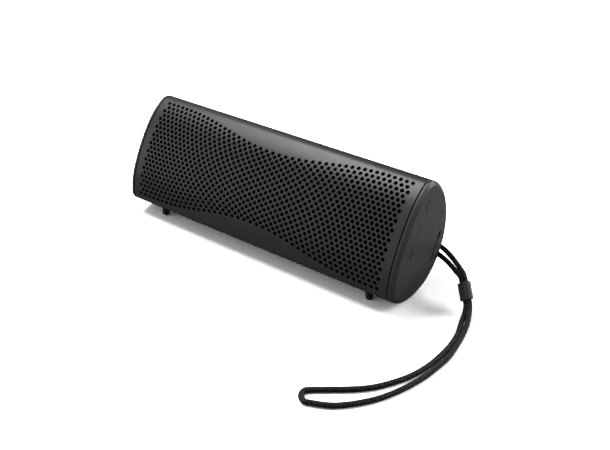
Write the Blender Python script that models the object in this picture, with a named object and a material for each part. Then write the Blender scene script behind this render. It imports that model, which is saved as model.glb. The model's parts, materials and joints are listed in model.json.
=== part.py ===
"""Portable shower speaker: a perforated metal casing with moulded end caps, leaning back on two rubber feet.

Every dimension is in millimetres and is turned into metres where a mesh is made. The speaker is designed
upright in its own local frame and then leant back: X runs along the casing, with the control panel at +X,
Y is the depth behind the front face, and Z is the height above the middle of the front.
"""

import math

import bmesh
import bpy
from mathutils import Matrix, Vector

MM = 0.001
GAP = 0.3                  # clearance between neighbouring pieces
FINE_GAP = 0.15            # clearance of a trim joint that shows

# The section is a closed chain of tangent arcs, from the middle of the front round over the top.
FRONT_RADIUS, FRONT_ANGLE = 120.0, 7.8
SHOULDER_RADIUS, SHOULDER_ANGLE = 48.5, 21.0
TOP_RADIUS, TOP_ANGLE = 9.6, 64.4
BOTTOM_RADIUS, BOTTOM_ANGLE = 7.0, 49.5

HALF_LENGTH = 106.8        # to the flat face of an end cap
CAP_EDGE = 105.3           # where the cap's chamfer starts
CAP_START = 103.8
CASING_END = 103.1
CHAMFER = 2.6              # how far the chamfer runs in from the cap's side
LIP = 0.2                  # flat rim between the chamfer and the panel
WALL = 1.8
SPIGOT_END, SPIGOT_WALL = 100.5, 2.0               # the cap's ring inside the casing
CLOTH_END, CLOTH_GAP, CLOTH_THICK = 98.0, 0.25, 0.35

LEAN = math.radians(31.5)
FRONT_HEIGHT = 48.2        # height of the middle of the front above the floor
DEPTH_SHIFT = 19.46        # puts the origin under the middle of the depth

PANEL_BACK = 105.2
WEB_FRONT, WEB_BACK = 105.0, 103.2

ICON_DEPTH = 14.0          # the column of keys near the front edge
ICON_PITCH = 15.0
VOLUME_UP_HEIGHT = 23.0
LIGHT_DEPTH = 42.3         # the column of lights near the rear edge
PAIRING_HEIGHT = -0.9
LIGHT_HEIGHTS = (4.0, 1.9, -4.0, -7.2)
STATUS_HEIGHT = 8.0
MICROPHONE_HEIGHT = VOLUME_UP_HEIGHT - 3 * ICON_PITCH
KEY_PROUD = 0.25

DRIVER_X = 58.0
BATTERY_DEPTH, BATTERY_OFFSET = 38.0, 9.7
CELL_RADIUS, CELL_HALF = 9.0, 32.5
SCREW_DEPTH, SCREW_HEIGHT = 27.0, 29.5

SOCKET_DEPTH = 24.0
COVER_WIDTH, COVER_HEIGHT, COVER_THICK = 9.0, 16.0, 1.2

ANCHOR_X, PIN_DEPTH, ANCHOR_HEIGHT = 94.0, 51.6, -2.2
WINDOW_WIDTH, WINDOW_HEIGHT = 8.6, 13.0            # the opening in the casing behind the anchor
ANCHOR_WIDTH, ANCHOR_TALL, ANCHOR_FRONT, ANCHOR_BACK = 10.6, 15.4, 44.9, 54.5
PIN_RADIUS, CORD_RADIUS = 1.6, 1.55

FOOT_X, FOOT_WIDTH, FOOT_FRONT, FOOT_BACK = 85.0, 4.6, -22.8, 16.0
FOOT_EDGE, FOOT_TALL = 1.0, 13.0
RUNNER_FRONT, WEB_WIDTH, WEB_RISE = -13.0, 2.6, 1.8       # the long part of a foot, and the web to its peg

CORD_STEP = 3.2            # length of one straight piece of the cord
CORD_REST = 1.6            # height of the cord's middle where it lies on the floor
EXIT_DEPTH, EXIT_SPREAD, EXIT_RISE = 55.5, 0.6, 3.6    # where the strands leave the anchor
TIP_CENTRE, TIP_RADIUS = (110.0, -113.0), 5.2          # the far end of the loop
SLIDER_CENTRE = Vector((134.8, 6.2, 11.5))
SLIDER_HEADING = Vector((0.52, -0.45, -0.73)).normalized()
SLIDER_ROLL = math.radians(9.0)
SLIDER_LENGTH, SLIDER_WIDTH, SLIDER_THICK, SLIDER_BEVEL = 10.6, 9.4, 5.4, 1.4
STRAND_OFFSET = 2.1
STRAIGHT_REACH = 7.6       # the strands are straight this far either way from the slider's middle


# ---------------------------------------------------------------- scene, frames and materials

def clear_scene():
    for obj in list(bpy.data.objects):
        bpy.data.objects.remove(obj)


def collection(name, shown=True):
    made = bpy.data.collections.new(name)
    bpy.context.scene.collection.children.link(made)
    made.hide_render = not shown
    return made


def to_world(x, depth, height):
    """A point of the leant speaker, in millimetres of the world."""
    return Vector((
        x,
        depth * math.cos(LEAN) + height * math.sin(LEAN) - DEPTH_SHIFT,
        -depth * math.sin(LEAN) + height * math.cos(LEAN) + FRONT_HEIGHT,
    ))


def material(name, colour, roughness, metallic=0.0):
    made = bpy.data.materials.new(name)
    made.use_nodes = True
    shader = made.node_tree.nodes["Principled BSDF"]
    shader.inputs["Base Color"].default_value = (*colour, 1.0)
    shader.inputs["Roughness"].default_value = roughness
    shader.inputs["Metallic"].default_value = metallic
    made.diffuse_color = (*colour, 1.0)
    return made


# ---------------------------------------------------------------- outlines, in (depth, height)

def arc_points(start, heading, radius, angle):
    """Points along an arc that turns clockwise from a heading, measured from +Z towards +Y."""
    steps = max(2, round(angle / (6.0 if radius > 20 else 11.0)))
    points = []
    for step in range(1, steps + 1):
        turn = heading + math.radians(angle) * step / steps
        points.append((
            start[0] + radius * (math.cos(heading) - math.cos(turn)),
            start[1] + radius * (math.sin(turn) - math.sin(heading)),
        ))
    return points


def rear_radii():
    """The two rear radii that close the chain of arcs: both ends of the chain meet at the rear."""
    def reach(chain):
        turned = depth = height = 0.0
        for radius, angle in chain:
            after = turned + math.radians(angle)
            depth += radius * (math.cos(turned) - math.cos(after))
            height += radius * (math.sin(after) - math.sin(turned))
            turned = after
        return depth, height, turned

    front = [(FRONT_RADIUS, FRONT_ANGLE), (SHOULDER_RADIUS, SHOULDER_ANGLE)]
    top_depth, top_height, top_turn = reach(front + [(TOP_RADIUS, TOP_ANGLE)])
    low_depth, low_height, low_turn = reach(front + [(BOTTOM_RADIUS, BOTTOM_ANGLE)])
    # top: depth + R (cos t + 1), height - R sin t; bottom: the same with the height turned over
    a1, b1, c1 = math.cos(top_turn) + 1, -(math.cos(low_turn) + 1), low_depth - top_depth
    a2, b2, c2 = math.sin(top_turn), math.sin(low_turn), top_height + low_height
    scale = a1 * b2 - a2 * b1
    return (c1 * b2 - c2 * b1) / scale, (a1 * c2 - a2 * c1) / scale


def section_arcs():
    rear_top, rear_low = rear_radii()
    top_left = 180.0 - FRONT_ANGLE - SHOULDER_ANGLE - TOP_ANGLE
    low_left = 180.0 - FRONT_ANGLE - SHOULDER_ANGLE - BOTTOM_ANGLE
    return [
        (FRONT_RADIUS, FRONT_ANGLE), (SHOULDER_RADIUS, SHOULDER_ANGLE), (TOP_RADIUS, TOP_ANGLE),
        (rear_top, top_left), (rear_low, low_left),
        (BOTTOM_RADIUS, BOTTOM_ANGLE), (SHOULDER_RADIUS, SHOULDER_ANGLE), (FRONT_RADIUS, FRONT_ANGLE),
    ]


def section(inset=0.0):
    """The speaker's closed section, moved in from its surface by an inset."""
    points, heading = [(inset, 0.0)], 0.0
    for radius, angle in section_arcs():
        points += arc_points(points[-1], heading, radius - inset, angle)
        heading += math.radians(angle)
    return points[:-1]


def front_band(outer, inner):
    """A thin band behind the front face, out to where the shoulders end."""
    def front_line(inset):
        up, heading = [(inset, 0.0)], 0.0
        for radius, angle in section_arcs()[:2]:
            up += arc_points(up[-1], heading, radius - inset, angle)
            heading += math.radians(angle)
        return [(depth, -height) for depth, height in reversed(up[1:])] + up
    return front_line(outer) + front_line(inner)[::-1]


def circle(radius, centre=(0.0, 0.0), steps=24):
    return [
        (centre[0] + radius * math.cos(turn), centre[1] + radius * math.sin(turn))
        for turn in (math.tau * k / steps for k in range(steps))
    ]


def rounded_box(width, height, radius, centre=(0.0, 0.0), steps=3):
    """A rectangle with round corners, width along the depth."""
    points = []
    for corner in range(4):
        sx, sy = ((1, 1), (-1, 1), (-1, -1), (1, -1))[corner]
        mid = (centre[0] + sx * (width / 2 - radius), centre[1] + sy * (height / 2 - radius))
        for step in range(steps + 1):
            turn = math.radians(90 * (corner + step / steps))
            points.append((mid[0] + radius * math.cos(turn), mid[1] + radius * math.sin(turn)))
    return points


def cross_outline(reach, half_width, centre=(0.0, 0.0), turn=0.0):
    """A plus sign whose arms taper a little towards their ends."""
    end = 0.94 * half_width
    quarter = [(reach, -end), (reach, end), (half_width, half_width)]
    points = []
    for side in range(4):
        angle = math.radians(90 * side + turn)
        for x, y in quarter:
            points.append((
                centre[0] + x * math.cos(angle) - y * math.sin(angle),
                centre[1] + x * math.sin(angle) + y * math.cos(angle),
            ))
    return points


# ---------------------------------------------------------------- solids

def add_object(name, mesh, place, parent=None):
    obj = bpy.data.objects.new(name, mesh)
    place.objects.link(obj)
    obj.parent = parent
    return obj


def tidy_mesh(work, name):
    """Ends a bmesh as a closed mesh in metres with its faces pointing out."""
    bmesh.ops.remove_doubles(work, verts=work.verts, dist=1e-4)
    bmesh.ops.recalc_face_normals(work, faces=work.faces)
    bmesh.ops.scale(work, vec=(MM, MM, MM), verts=work.verts)
    mesh = bpy.data.meshes.new(name)
    work.to_mesh(mesh)
    work.free()
    return mesh


def plate_mesh(outlines, start, end):
    """A flat piece with holes: a filled 2D curve across X, extruded between two places along X."""
    curve = bpy.data.curves.new("outline", "CURVE")
    curve.dimensions = "2D"
    curve.fill_mode = "BOTH"
    curve.extrude = abs(end - start) / 2
    for outline in outlines:
        spline = curve.splines.new("POLY")
        spline.points.add(len(outline) - 1)
        for point, (depth, height) in zip(spline.points, outline):
            point.co = (depth, height, 0.0, 1.0)
        spline.use_cyclic_u = True
    guide = bpy.data.objects.new("outline", curve)
    bpy.context.scene.collection.objects.link(guide)
    graph = bpy.context.evaluated_depsgraph_get()
    flat = bpy.data.meshes.new_from_object(guide.evaluated_get(graph))
    work = bmesh.new()
    work.from_mesh(flat)
    bpy.data.objects.remove(guide)
    bpy.data.meshes.remove(flat)
    # the curve's own X, Y and Z become depth, height and length
    turn = Matrix(((0, 0, 1), (1, 0, 0), (0, 1, 0)))
    bmesh.ops.rotate(work, matrix=turn, verts=work.verts)
    bmesh.ops.translate(work, vec=((start + end) / 2, 0, 0), verts=work.verts)
    return tidy_mesh(work, "plate")


def lofted_mesh(rings):
    """A skin over equal outlines at places along X, closed by the first and last outline."""
    work = bmesh.new()
    loops = [[work.verts.new((x, depth, height)) for depth, height in outline] for x, outline in rings]
    for near, far in zip(loops, loops[1:]):
        for k, vert in enumerate(near):
            after = (k + 1) % len(near)
            work.faces.new((vert, near[after], far[after], far[k]))
    work.faces.new(loops[0])
    work.faces.new(loops[-1])
    return tidy_mesh(work, "loft")


def turned_mesh(profile, axis, closed=False, steps=22):
    """A profile of (radius, place along the axis), spun about the axis."""
    work = bmesh.new()
    along = Vector(axis)
    across = Vector((0, 0, 1)) if axis != (0, 0, 1) else Vector((1, 0, 0))
    verts = [work.verts.new(across * radius + along * place) for radius, place in profile]
    edges = [work.edges.new(pair) for pair in zip(verts, verts[1:])]
    if closed:
        edges.append(work.edges.new((verts[-1], verts[0])))
    bmesh.ops.spin(work, geom=verts + edges, cent=(0, 0, 0), axis=axis, angle=math.tau, steps=steps,
                   use_merge=True, use_duplicate=False)
    return tidy_mesh(work, "turned")


def box_mesh(size, centre=(0.0, 0.0, 0.0), bevel=0.0):
    work = bmesh.new()
    bmesh.ops.create_cube(work, size=1.0)
    bmesh.ops.scale(work, vec=size, verts=work.verts)
    if bevel:
        bmesh.ops.bevel(work, geom=work.edges, offset=bevel, segments=2, affect="EDGES", profile=0.5)
    bmesh.ops.translate(work, vec=centre, verts=work.verts)
    return tidy_mesh(work, "box")


def rod_mesh(radius, start, end, axis=(1, 0, 0), centre=(0.0, 0.0, 0.0), steps=16):
    """A cylinder between two places along an axis."""
    along = Vector(axis)
    work = bmesh.new()
    depth = abs(end - start)
    bmesh.ops.create_cone(work, cap_ends=True, segments=steps, radius1=radius, radius2=radius, depth=depth)
    bmesh.ops.rotate(work, matrix=Vector((0, 0, 1)).rotation_difference(along).to_matrix(), verts=work.verts)
    bmesh.ops.translate(work, vec=Vector(centre) + along * (start + end) / 2, verts=work.verts)
    return tidy_mesh(work, "rod")


def combine(obj, meshes, operation, cutters):
    """Adds one Boolean modifier for each helper mesh, with the helpers kept as hidden wires."""
    for index, mesh in enumerate(meshes):
        helper = add_object(f"{obj.name}_{operation.lower()}_{index}", mesh, cutters, obj.parent)
        helper.location = obj.location
        helper.hide_render = True
        helper.display_type = "WIRE"
        modifier = obj.modifiers.new(f"{operation} {index}", "BOOLEAN")
        modifier.operation = operation
        modifier.object = helper
    return obj


# ---------------------------------------------------------------- casing and caps

def make_casing(build):
    """An open-ended tube with a window at the rear for the strap anchor."""
    tube = plate_mesh([section(), section(WALL)], -CASING_END, CASING_END)
    casing = build.piece("casing", tube, "casing_metal")
    outline = rounded_box(12.0, WINDOW_HEIGHT, 1.5, (53.0, ANCHOR_HEIGHT))
    build.cut(casing, [plate_mesh([outline], ANCHOR_X - WINDOW_WIDTH / 2, ANCHOR_X + WINDOW_WIDTH / 2)])
    cloth = front_band(WALL + CLOTH_GAP, WALL + CLOTH_GAP + CLOTH_THICK)
    build.piece("grille_cloth", plate_mesh([cloth], -CLOTH_END, CLOTH_END), "acoustic_cloth")


def cap_frame_mesh(side):
    """A cap's moulding: a chamfered rim, a web behind the panel, and a spigot into the casing."""
    steps = [
        (WEB_FRONT, CHAMFER + LIP), (HALF_LENGTH, CHAMFER + LIP), (HALF_LENGTH, CHAMFER), (CAP_EDGE, 0.0),
        (CAP_START, 0.0), (CAP_START, WALL + GAP), (SPIGOT_END, WALL + GAP),
        (SPIGOT_END, WALL + GAP + SPIGOT_WALL), (WEB_BACK, WALL + GAP + SPIGOT_WALL),
    ]
    return lofted_mesh([(side * x, section(inset)) for x, inset in steps])


def make_gasket(build, side_name, side):
    start, end = CASING_END + FINE_GAP, CAP_START - FINE_GAP
    ring = plate_mesh([section(0.7), section(WALL)], side * start, side * end)
    build.piece(f"{side_name}_gasket", ring, "seal_rubber")


def make_left_cap(build):
    """The plain cap, with the charging socket behind a rubber cover."""
    frame = build.piece("left_cap_frame", cap_frame_mesh(-1), "cap_plastic")
    pocket = rounded_box(6.0, 13.0, 1.0, (SOCKET_DEPTH, 0.0))
    build.cut(frame, [plate_mesh([pocket], -107.0, -102.0)] + screw_holes(-1))
    panel_outline = section(CHAMFER + LIP + FINE_GAP)
    plate = plate_mesh([panel_outline, pocket], -PANEL_BACK, -HALF_LENGTH)
    panel = build.piece("left_cap_panel", plate, "cap_plastic")
    recess = rounded_box(COVER_WIDTH + 2 * GAP, COVER_HEIGHT + 2 * GAP, 0.8, (SOCKET_DEPTH, 0.0))
    build.cut(panel, [plate_mesh([recess], -HALF_LENGTH + COVER_THICK + 0.1, -HALF_LENGTH - 1.0)])


def screw_holes(side):
    """Countersunk ways through the web for the cap's two screws."""
    cutters = []
    for height in (SCREW_HEIGHT, -SCREW_HEIGHT):
        profile = [(0, 102.0), (1.8, 102.0), (1.8, 103.6), (3.3, 105.1), (3.3, 106.0), (0, 106.0)]
        cone = turned_mesh(profile, (1, 0, 0))
        cone.transform(Matrix.Diagonal((side, 1, 1, 1)))
        cone.transform(Matrix.Translation((0, SCREW_DEPTH * MM, height * MM)))
        if side < 0:
            cone.flip_normals()
        cutters.append(cone)
    return cutters


def key_outlines():
    """Each key's name, height, crown outlines and panel cut-outs."""
    up, play, down = (VOLUME_UP_HEIGHT - ICON_PITCH * row for row in range(3))
    dots = (-2.1, 0.0, 2.1)
    centre_up, centre_down = (ICON_DEPTH, up), (ICON_DEPTH, down)
    pair = (LIGHT_DEPTH, PAIRING_HEIGHT)
    return {
        "volume_up": (up, [cross_outline(3.0, 0.7, centre_up)], [cross_outline(3.2, 0.9, centre_up)]),
        "play": (
            play,
            [circle(0.75, (ICON_DEPTH, play + dot), 12) for dot in dots],
            [circle(0.95, (ICON_DEPTH, play + dot), 12) for dot in dots],
        ),
        "volume_down": (
            down,
            [rounded_box(1.4, 6.0, 0.3, centre_down)],
            [rounded_box(1.8, 6.4, 0.5, centre_down)],
        ),
        "pairing": (
            PAIRING_HEIGHT,
            [cross_outline(1.5, 0.45, pair, 45)],
            [cross_outline(1.7, 0.65, pair, 45)],
        ),
    }


def make_right_cap(build):
    """The cap with the control panel."""
    frame = build.piece("right_cap_frame", cap_frame_mesh(1), "cap_plastic")
    through = (101.0, 107.0)
    pits = [circle(4.6, (ICON_DEPTH, VOLUME_UP_HEIGHT - ICON_PITCH * row)) for row in range(3)]
    pits.append(circle(2.6, (ICON_DEPTH, MICROPHONE_HEIGHT), 16))
    pits.append(circle(1.75, (LIGHT_DEPTH, PAIRING_HEIGHT), 12))
    light_ways = [rounded_box(2.0, 4.9, 0.5, (LIGHT_DEPTH, STATUS_HEIGHT))]
    light_ways += [circle(0.8, (LIGHT_DEPTH, height), 8) for height in LIGHT_HEIGHTS]
    pits += light_ways
    build.cut(frame, [plate_mesh([outline], *through) for outline in pits] + screw_holes(1))
    holes = [outline for _, _, cuts in key_outlines().values() for outline in cuts]
    holes.append(circle(0.65, (ICON_DEPTH, MICROPHONE_HEIGHT), 12))
    holes += light_ways
    outline = section(CHAMFER + LIP + FINE_GAP)
    build.piece("right_cap_panel", plate_mesh([outline, *holes], PANEL_BACK, HALF_LENGTH), "cap_plastic")
    mesh = rod_mesh(2.2, 104.3, 104.8, centre=(0, ICON_DEPTH, MICROPHONE_HEIGHT))
    build.piece("microphone_mesh", mesh, "acoustic_cloth")


def make_keys(build):
    """Push keys whose crowns stand through the panel as raised signs, each over its own switch."""
    for name, (height, crowns, _) in key_outlines().items():
        small = name == "pairing"
        depth = LIGHT_DEPTH if small else ICON_DEPTH
        flange = 1.5 if small else 4.2
        centre = Vector((105.0, depth, height))
        moved = [[(y - depth, z - height) for y, z in crown] for crown in crowns]
        base = rod_mesh(flange, -1.4, -0.2, steps=12 if small else 24)
        key = build.piece(f"{name}_key", base, "cap_plastic", centre)
        stem = rod_mesh(1.0 if small else 1.5, -3.8, -1.2, steps=12)
        tops = [plate_mesh([crown], -0.4, HALF_LENGTH + KEY_PROUD - centre.x) for crown in moved]
        build.join(key, [stem] + tops)
        side = 4.4 if small else 6.0
        body = box_mesh((3.6, side, side), (-7.0, 0, 0), 0.3)
        switch = build.piece(f"{name}_switch", body, "switch_metal", centre)
        build.join(switch, [rod_mesh(1.2, -5.6, -4.5, steps=12)])


def make_light_guides(build):
    bar = plate_mesh([rounded_box(1.7, 4.6, 0.4, (LIGHT_DEPTH, STATUS_HEIGHT))], 102.0, HALF_LENGTH - 0.05)
    guide = build.piece("status_light_guide", bar, "light_guide")
    build.join(guide, [plate_mesh([rounded_box(3.0, 5.0, 0.5, (LIGHT_DEPTH, STATUS_HEIGHT))], 101.8, 102.8)])
    key_way = circle(1.4, (LIGHT_DEPTH, PAIRING_HEIGHT), 12)
    middle = (LIGHT_HEIGHTS[0] + LIGHT_HEIGHTS[-1]) / 2
    strip = plate_mesh([rounded_box(3.4, 13.0, 0.5, (LIGHT_DEPTH, middle - 0.2)), key_way], 101.8, 102.8)
    lights = build.piece("battery_light_guide", strip, "light_guide")
    pins = [
        rod_mesh(0.65, 102.5, HALF_LENGTH - 0.05, centre=(0, LIGHT_DEPTH, height), steps=8)
        for height in LIGHT_HEIGHTS
    ]
    build.join(lights, pins)


def make_cap_screws(build):
    profile = [(0, 104.9), (3.0, 104.9), (1.5, 103.5), (1.5, 86.0), (0, 85.2)]
    for side_name, side in (("left", -1), ("right", 1)):
        for level, height in (("upper", SCREW_HEIGHT), ("lower", -SCREW_HEIGHT)):
            mesh = turned_mesh([(radius, place) for radius, place in profile], (1, 0, 0), steps=12)
            centre = (0, SCREW_DEPTH, height)
            screw = build.piece(f"{side_name}_cap_screw_{level}", mesh, "screw_steel", centre)
            screw.rotation_euler.z = 0.0 if side > 0 else math.pi


# ---------------------------------------------------------------- inside

def make_chassis(build):
    """A moulded frame: a baffle with three openings, joined to a bulkhead near each end and two ribs."""
    baffle = box_mesh((170.0, 3.0, 50.0), (0, 10.5, 0))
    chassis = build.piece("inner_chassis", baffle, "chassis_plastic")
    opening = rounded_box(30.0, 43.0, 3.0, (29.0, 0.0))
    screw_ways = [circle(1.8, (SCREW_DEPTH, height), 12) for height in (SCREW_HEIGHT, -SCREW_HEIGHT)]
    bulkheads = [
        plate_mesh([section(WALL + 0.7), opening, *screw_ways], side * 84.0, side * 88.0) for side in (-1, 1)
    ]
    ribs = [box_mesh((3.0, 34.0, 36.0), (side * 38.0, 28.5, 0)) for side in (-1, 1)]
    build.join(chassis, bulkheads + ribs)
    mouths = [rod_mesh(22.9, 7.0, 21.2, (0, 1, 0), (x, 0, 0), 32) for x in (-DRIVER_X, 0.0, DRIVER_X)]
    build.cut(chassis, mouths)


def roll_profile(inner, outer):
    """A half-round rubber roll between two radii, open behind."""
    middle, reach = (inner + outer) / 2, (outer - inner) / 2
    ring = []
    for radius, sign in ((reach, 1), (reach - 0.5, -1)):
        for step in range(4):
            turn = math.pi * step / 3
            rise = 1.8 * radius / reach * math.sin(turn)
            ring.append((middle - sign * radius * math.cos(turn), 9.3 - rise))
    return ring


def make_driver(build, side_name, x):
    """A full-range driver facing the grille."""
    basket = [(25.5, 6.8), (25.5, 8.7), (22.3, 8.7), (22.3, 12.5), (17.5, 20.5), (11.0, 20.5), (11.0, 19.3),
              (16.8, 19.3), (21.0, 12.0), (21.0, 6.8)]
    magnet = [
        (0, 20.9), (7.6, 20.9), (7.6, 30.0), (9.4, 30.0), (9.4, 20.9), (17.0, 20.9), (17.0, 33.0), (0, 33.0),
    ]
    cone = [
        (0, 12.3), (4.5, 12.9), (8.3, 14.9), (17.2, 8.9), (18.4, 8.9), (18.4, 9.6), (8.9, 16.6), (8.9, 26.5),
        (8.1, 26.5), (8.1, 16.0), (4.2, 13.9), (0, 13.3),
    ]
    where = (x, 0, 0)
    name = f"{side_name}_driver"
    build.piece(f"{name}_basket", turned_mesh(basket, (0, 1, 0), closed=True), "driver_steel", where)
    build.piece(f"{name}_magnet", turned_mesh(magnet, (0, 1, 0)), "magnet_ferrite", where)
    build.piece(f"{name}_cone", turned_mesh(cone, (0, 1, 0)), "cone_paper", where)
    roll = turned_mesh(roll_profile(18.7, 20.7), (0, 1, 0), closed=True)
    build.piece(f"{name}_surround", roll, "seal_rubber", where)


def make_passive_radiator(build):
    frame = [(25.5, 6.8), (25.5, 8.7), (22.3, 8.7), (22.3, 12.5), (21.0, 12.5), (21.0, 6.8)]
    plate = [(0, 8.6), (16.0, 8.6), (16.0, 10.2), (7.0, 10.2), (7.0, 13.0), (0, 13.0)]
    build.piece("radiator_frame", turned_mesh(frame, (0, 1, 0), closed=True), "driver_steel")
    roll = turned_mesh(roll_profile(16.3, 20.7), (0, 1, 0), closed=True)
    build.piece("radiator_surround", roll, "seal_rubber")
    build.piece("radiator_diaphragm", turned_mesh(plate, (0, 1, 0)), "cone_paper")


def make_battery(build):
    """Two cells side by side in a holder whose end walls clip between the ribs."""
    block = box_mesh((72.0, 10.0, 40.0), (0, 39.5, 0), 0.6)
    holder = build.piece("battery_holder", block, "chassis_plastic")
    places = (("upper", BATTERY_OFFSET), ("lower", -BATTERY_OFFSET))
    build.cut(holder, [
        rod_mesh(
            CELL_RADIUS + GAP, -CELL_HALF - 0.4, CELL_HALF + 0.4, centre=(0, BATTERY_DEPTH, height), steps=24,
        )
        for _, height in places
    ])
    for level, height in places:
        cell = rod_mesh(CELL_RADIUS, -CELL_HALF, CELL_HALF, centre=(0, BATTERY_DEPTH, height), steps=24)
        build.piece(f"battery_cell_{level}", cell, "cell_wrap")


def make_boards(build):
    """The main board behind the radiator, the control board under the keys, and the socket's board."""
    main = build.piece("main_board", box_mesh((60.0, 1.6, 44.0), (0, 24.8, 0)), "circuit_board")
    chips = [((9.0, 1.6, 9.0), (-14.0, 23.5, 6.0)), ((6.0, 1.4, 6.0), (2.0, 23.6, 10.0)),
             ((7.0, 3.0, 7.0), (15.0, 22.8, -8.0)), ((5.0, 1.2, 8.0), (-6.0, 23.7, -12.0))]
    build.join(main, [box_mesh(size, centre) for size, centre in chips])
    control = plate_mesh([rounded_box(35.6, 53.0, 12.0, (26.4, -0.5))], 94.6, 96.0)
    build.piece("control_board", control, "circuit_board")
    build.piece("ribbon_cable", box_mesh((63.6, 0.3, 3.0), (62.3, 24.8, 19.6)), "ribbon_film")
    board = box_mesh((9.0, 1.4, 20.0), (-94.5, SOCKET_DEPTH + 2.7, 0))
    build.piece("charging_board", board, "circuit_board")


def make_charging_socket(build):
    """A small oval socket with a tongue, open towards the cap."""
    outer = rounded_box(3.2, 9.0, 1.55, (SOCKET_DEPTH, 0.0))
    inner = rounded_box(2.6, 8.4, 1.25, (SOCKET_DEPTH, 0.0))
    shell = build.piece("charging_socket", plate_mesh([outer, inner], -99.8, -92.5), "socket_steel")
    back = plate_mesh([outer], -93.2, -92.0)
    tongue = box_mesh((6.0, 0.7, 6.2), (-95.8, SOCKET_DEPTH, 0))
    build.join(shell, [back, tongue])


def make_socket_cover(build):
    """A soft cover flush in the left panel, turning about its round upper edge."""
    half = COVER_THICK / 2
    pivot = Vector((-HALF_LENGTH + half, SOCKET_DEPTH, COVER_HEIGHT / 2 - half))
    outline = rounded_box(COVER_WIDTH, COVER_HEIGHT - half, 0.6, (0, -COVER_HEIGHT / 2 + half / 2))
    leaf = plate_mesh([outline], half, -half)
    cover = build.piece("socket_cover", leaf, "cover_rubber", pivot)
    plug = plate_mesh([rounded_box(5.2, 10.0, 1.0, (0, -pivot.z))], half - 0.2, half + 1.0)
    edge = rod_mesh(half, -COVER_WIDTH / 2 + 0.1, COVER_WIDTH / 2 - 0.1, (0, 1, 0), steps=12)
    build.join(cover, [plug, edge])


# ---------------------------------------------------------------- strap and feet

def make_strap_anchor(build):
    """A cup in the rear window of the casing, with a pin across it for the cord."""
    middle = (ANCHOR_X, (ANCHOR_FRONT + ANCHOR_BACK) / 2, ANCHOR_HEIGHT)
    body = box_mesh((ANCHOR_WIDTH, ANCHOR_BACK - ANCHOR_FRONT, ANCHOR_TALL), middle, 0.5)
    cup = build.piece("strap_anchor", body, "cap_plastic")
    hollow = box_mesh((7.4, 14.0, 11.4), (ANCHOR_X, 53.3, ANCHOR_HEIGHT))
    outside = plate_mesh([rounded_box(160.0, 160.0, 1.0), section(WALL + 0.2)], 80.0, 103.0)
    build.cut(cup, [hollow, outside])
    pin = rod_mesh(PIN_RADIUS, ANCHOR_X - 3.5, ANCHOR_X + 3.5, centre=(0, PIN_DEPTH, ANCHOR_HEIGHT))
    build.piece("strap_pin", pin, "screw_steel")


def slider_frame():
    """The slider's three directions: along the strands, across both strands, and through its thickness."""
    level = Vector((SLIDER_HEADING.x, SLIDER_HEADING.y, 0)).normalized()
    upright = (level * -SLIDER_HEADING.z + Vector((0, 0, 1)) * level.dot(SLIDER_HEADING)).normalized()
    across = upright * math.cos(SLIDER_ROLL) - SLIDER_HEADING.cross(upright) * math.sin(SLIDER_ROLL)
    return SLIDER_HEADING, across, SLIDER_HEADING.cross(across)


def strand_through_slider(side):
    along, across, _ = slider_frame()
    middle = SLIDER_CENTRE + across * (STRAND_OFFSET * side)
    return [middle - along * STRAIGHT_REACH, middle + along * STRAIGHT_REACH]


def lying(points):
    """Guides for cord that lies on the floor."""
    return [Vector((x, y, CORD_REST)) for x, y in points]


def cord_guides():
    """Control points of the loop: out of the anchor, through the slider, round the floor and back."""
    exits = [
        to_world(ANCHOR_X + side * EXIT_SPREAD, EXIT_DEPTH, ANCHOR_HEIGHT + side * EXIT_RISE)
        for side in (1, -1)
    ]
    upper_rise = [Vector((104.8, 28.7, 19.9)), Vector((115.8, 21.0, 21.4)), Vector((126.6, 13.2, 20.6))]
    lower_rise = [Vector((101.5, 27.2, 15.5)), Vector((113.0, 21.8, 16.3)), Vector((123.5, 14.7, 16.3))]
    landing_out, landing_in = Vector((146.5, -13.0, 2.4)), Vector((142.8, -12.5, 2.2))
    outer_floor = lying([(151.0, -37.0), (151.0, -52.5), (147.5, -73.0), (139.0, -94.0), (125.5, -110.5)])
    inner_floor = lying([
        (108.0, -108.5), (129.5, -91.0), (141.0, -73.5), (146.3, -56.5), (147.5, -37.0), (146.0, -23.5),
    ])
    turns = [math.radians(turn) for turn in range(-70, -230, -32)]
    tip = lying([
        (TIP_CENTRE[0] + TIP_RADIUS * math.cos(turn), TIP_CENTRE[1] + TIP_RADIUS * math.sin(turn))
        for turn in turns
    ])
    down = strand_through_slider(1) + [landing_out] + outer_floor
    up = inner_floor + [landing_in] + strand_through_slider(-1)[::-1]
    return [exits[0]] + upper_rise + down + tip + up + lower_rise[::-1] + [exits[1]]


def turn_round_pin():
    """The cord's half turn behind the pin, from the lower strand to the upper one."""
    radius = PIN_RADIUS + CORD_RADIUS + GAP
    points = []
    for step in range(7):
        turn = math.pi * step / 6
        points.append(to_world(
            ANCHOR_X + EXIT_SPREAD * (step / 3 - 1),
            PIN_DEPTH - radius * math.sin(turn),
            ANCHOR_HEIGHT - radius * math.cos(turn),
        ))
    return points


def smooth_loop(guides, spacing):
    """A closed Catmull-Rom line through the guides, straight between the two ends of the slider."""
    count = len(guides)
    straight = {tuple(point) for side in (1, -1) for point in strand_through_slider(side)}
    line = []
    for k in range(count):
        before, here, after, beyond = (guides[(k + shift) % count] for shift in (-1, 0, 1, 2))
        steps = max(1, round((after - here).length / spacing))
        both_straight = tuple(here) in straight and tuple(after) in straight
        for step in range(steps):
            t = step / steps
            if both_straight:
                line.append(here.lerp(after, t))
                continue
            point = 0.5 * (
                2 * here + (after - before) * t
                + (2 * before - 5 * here + 4 * after - beyond) * t ** 2
                + (3 * here - before - 3 * after + beyond) * t ** 3
            )
            point.z = max(point.z, CORD_REST)
            line.append(point)
    return line


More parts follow.
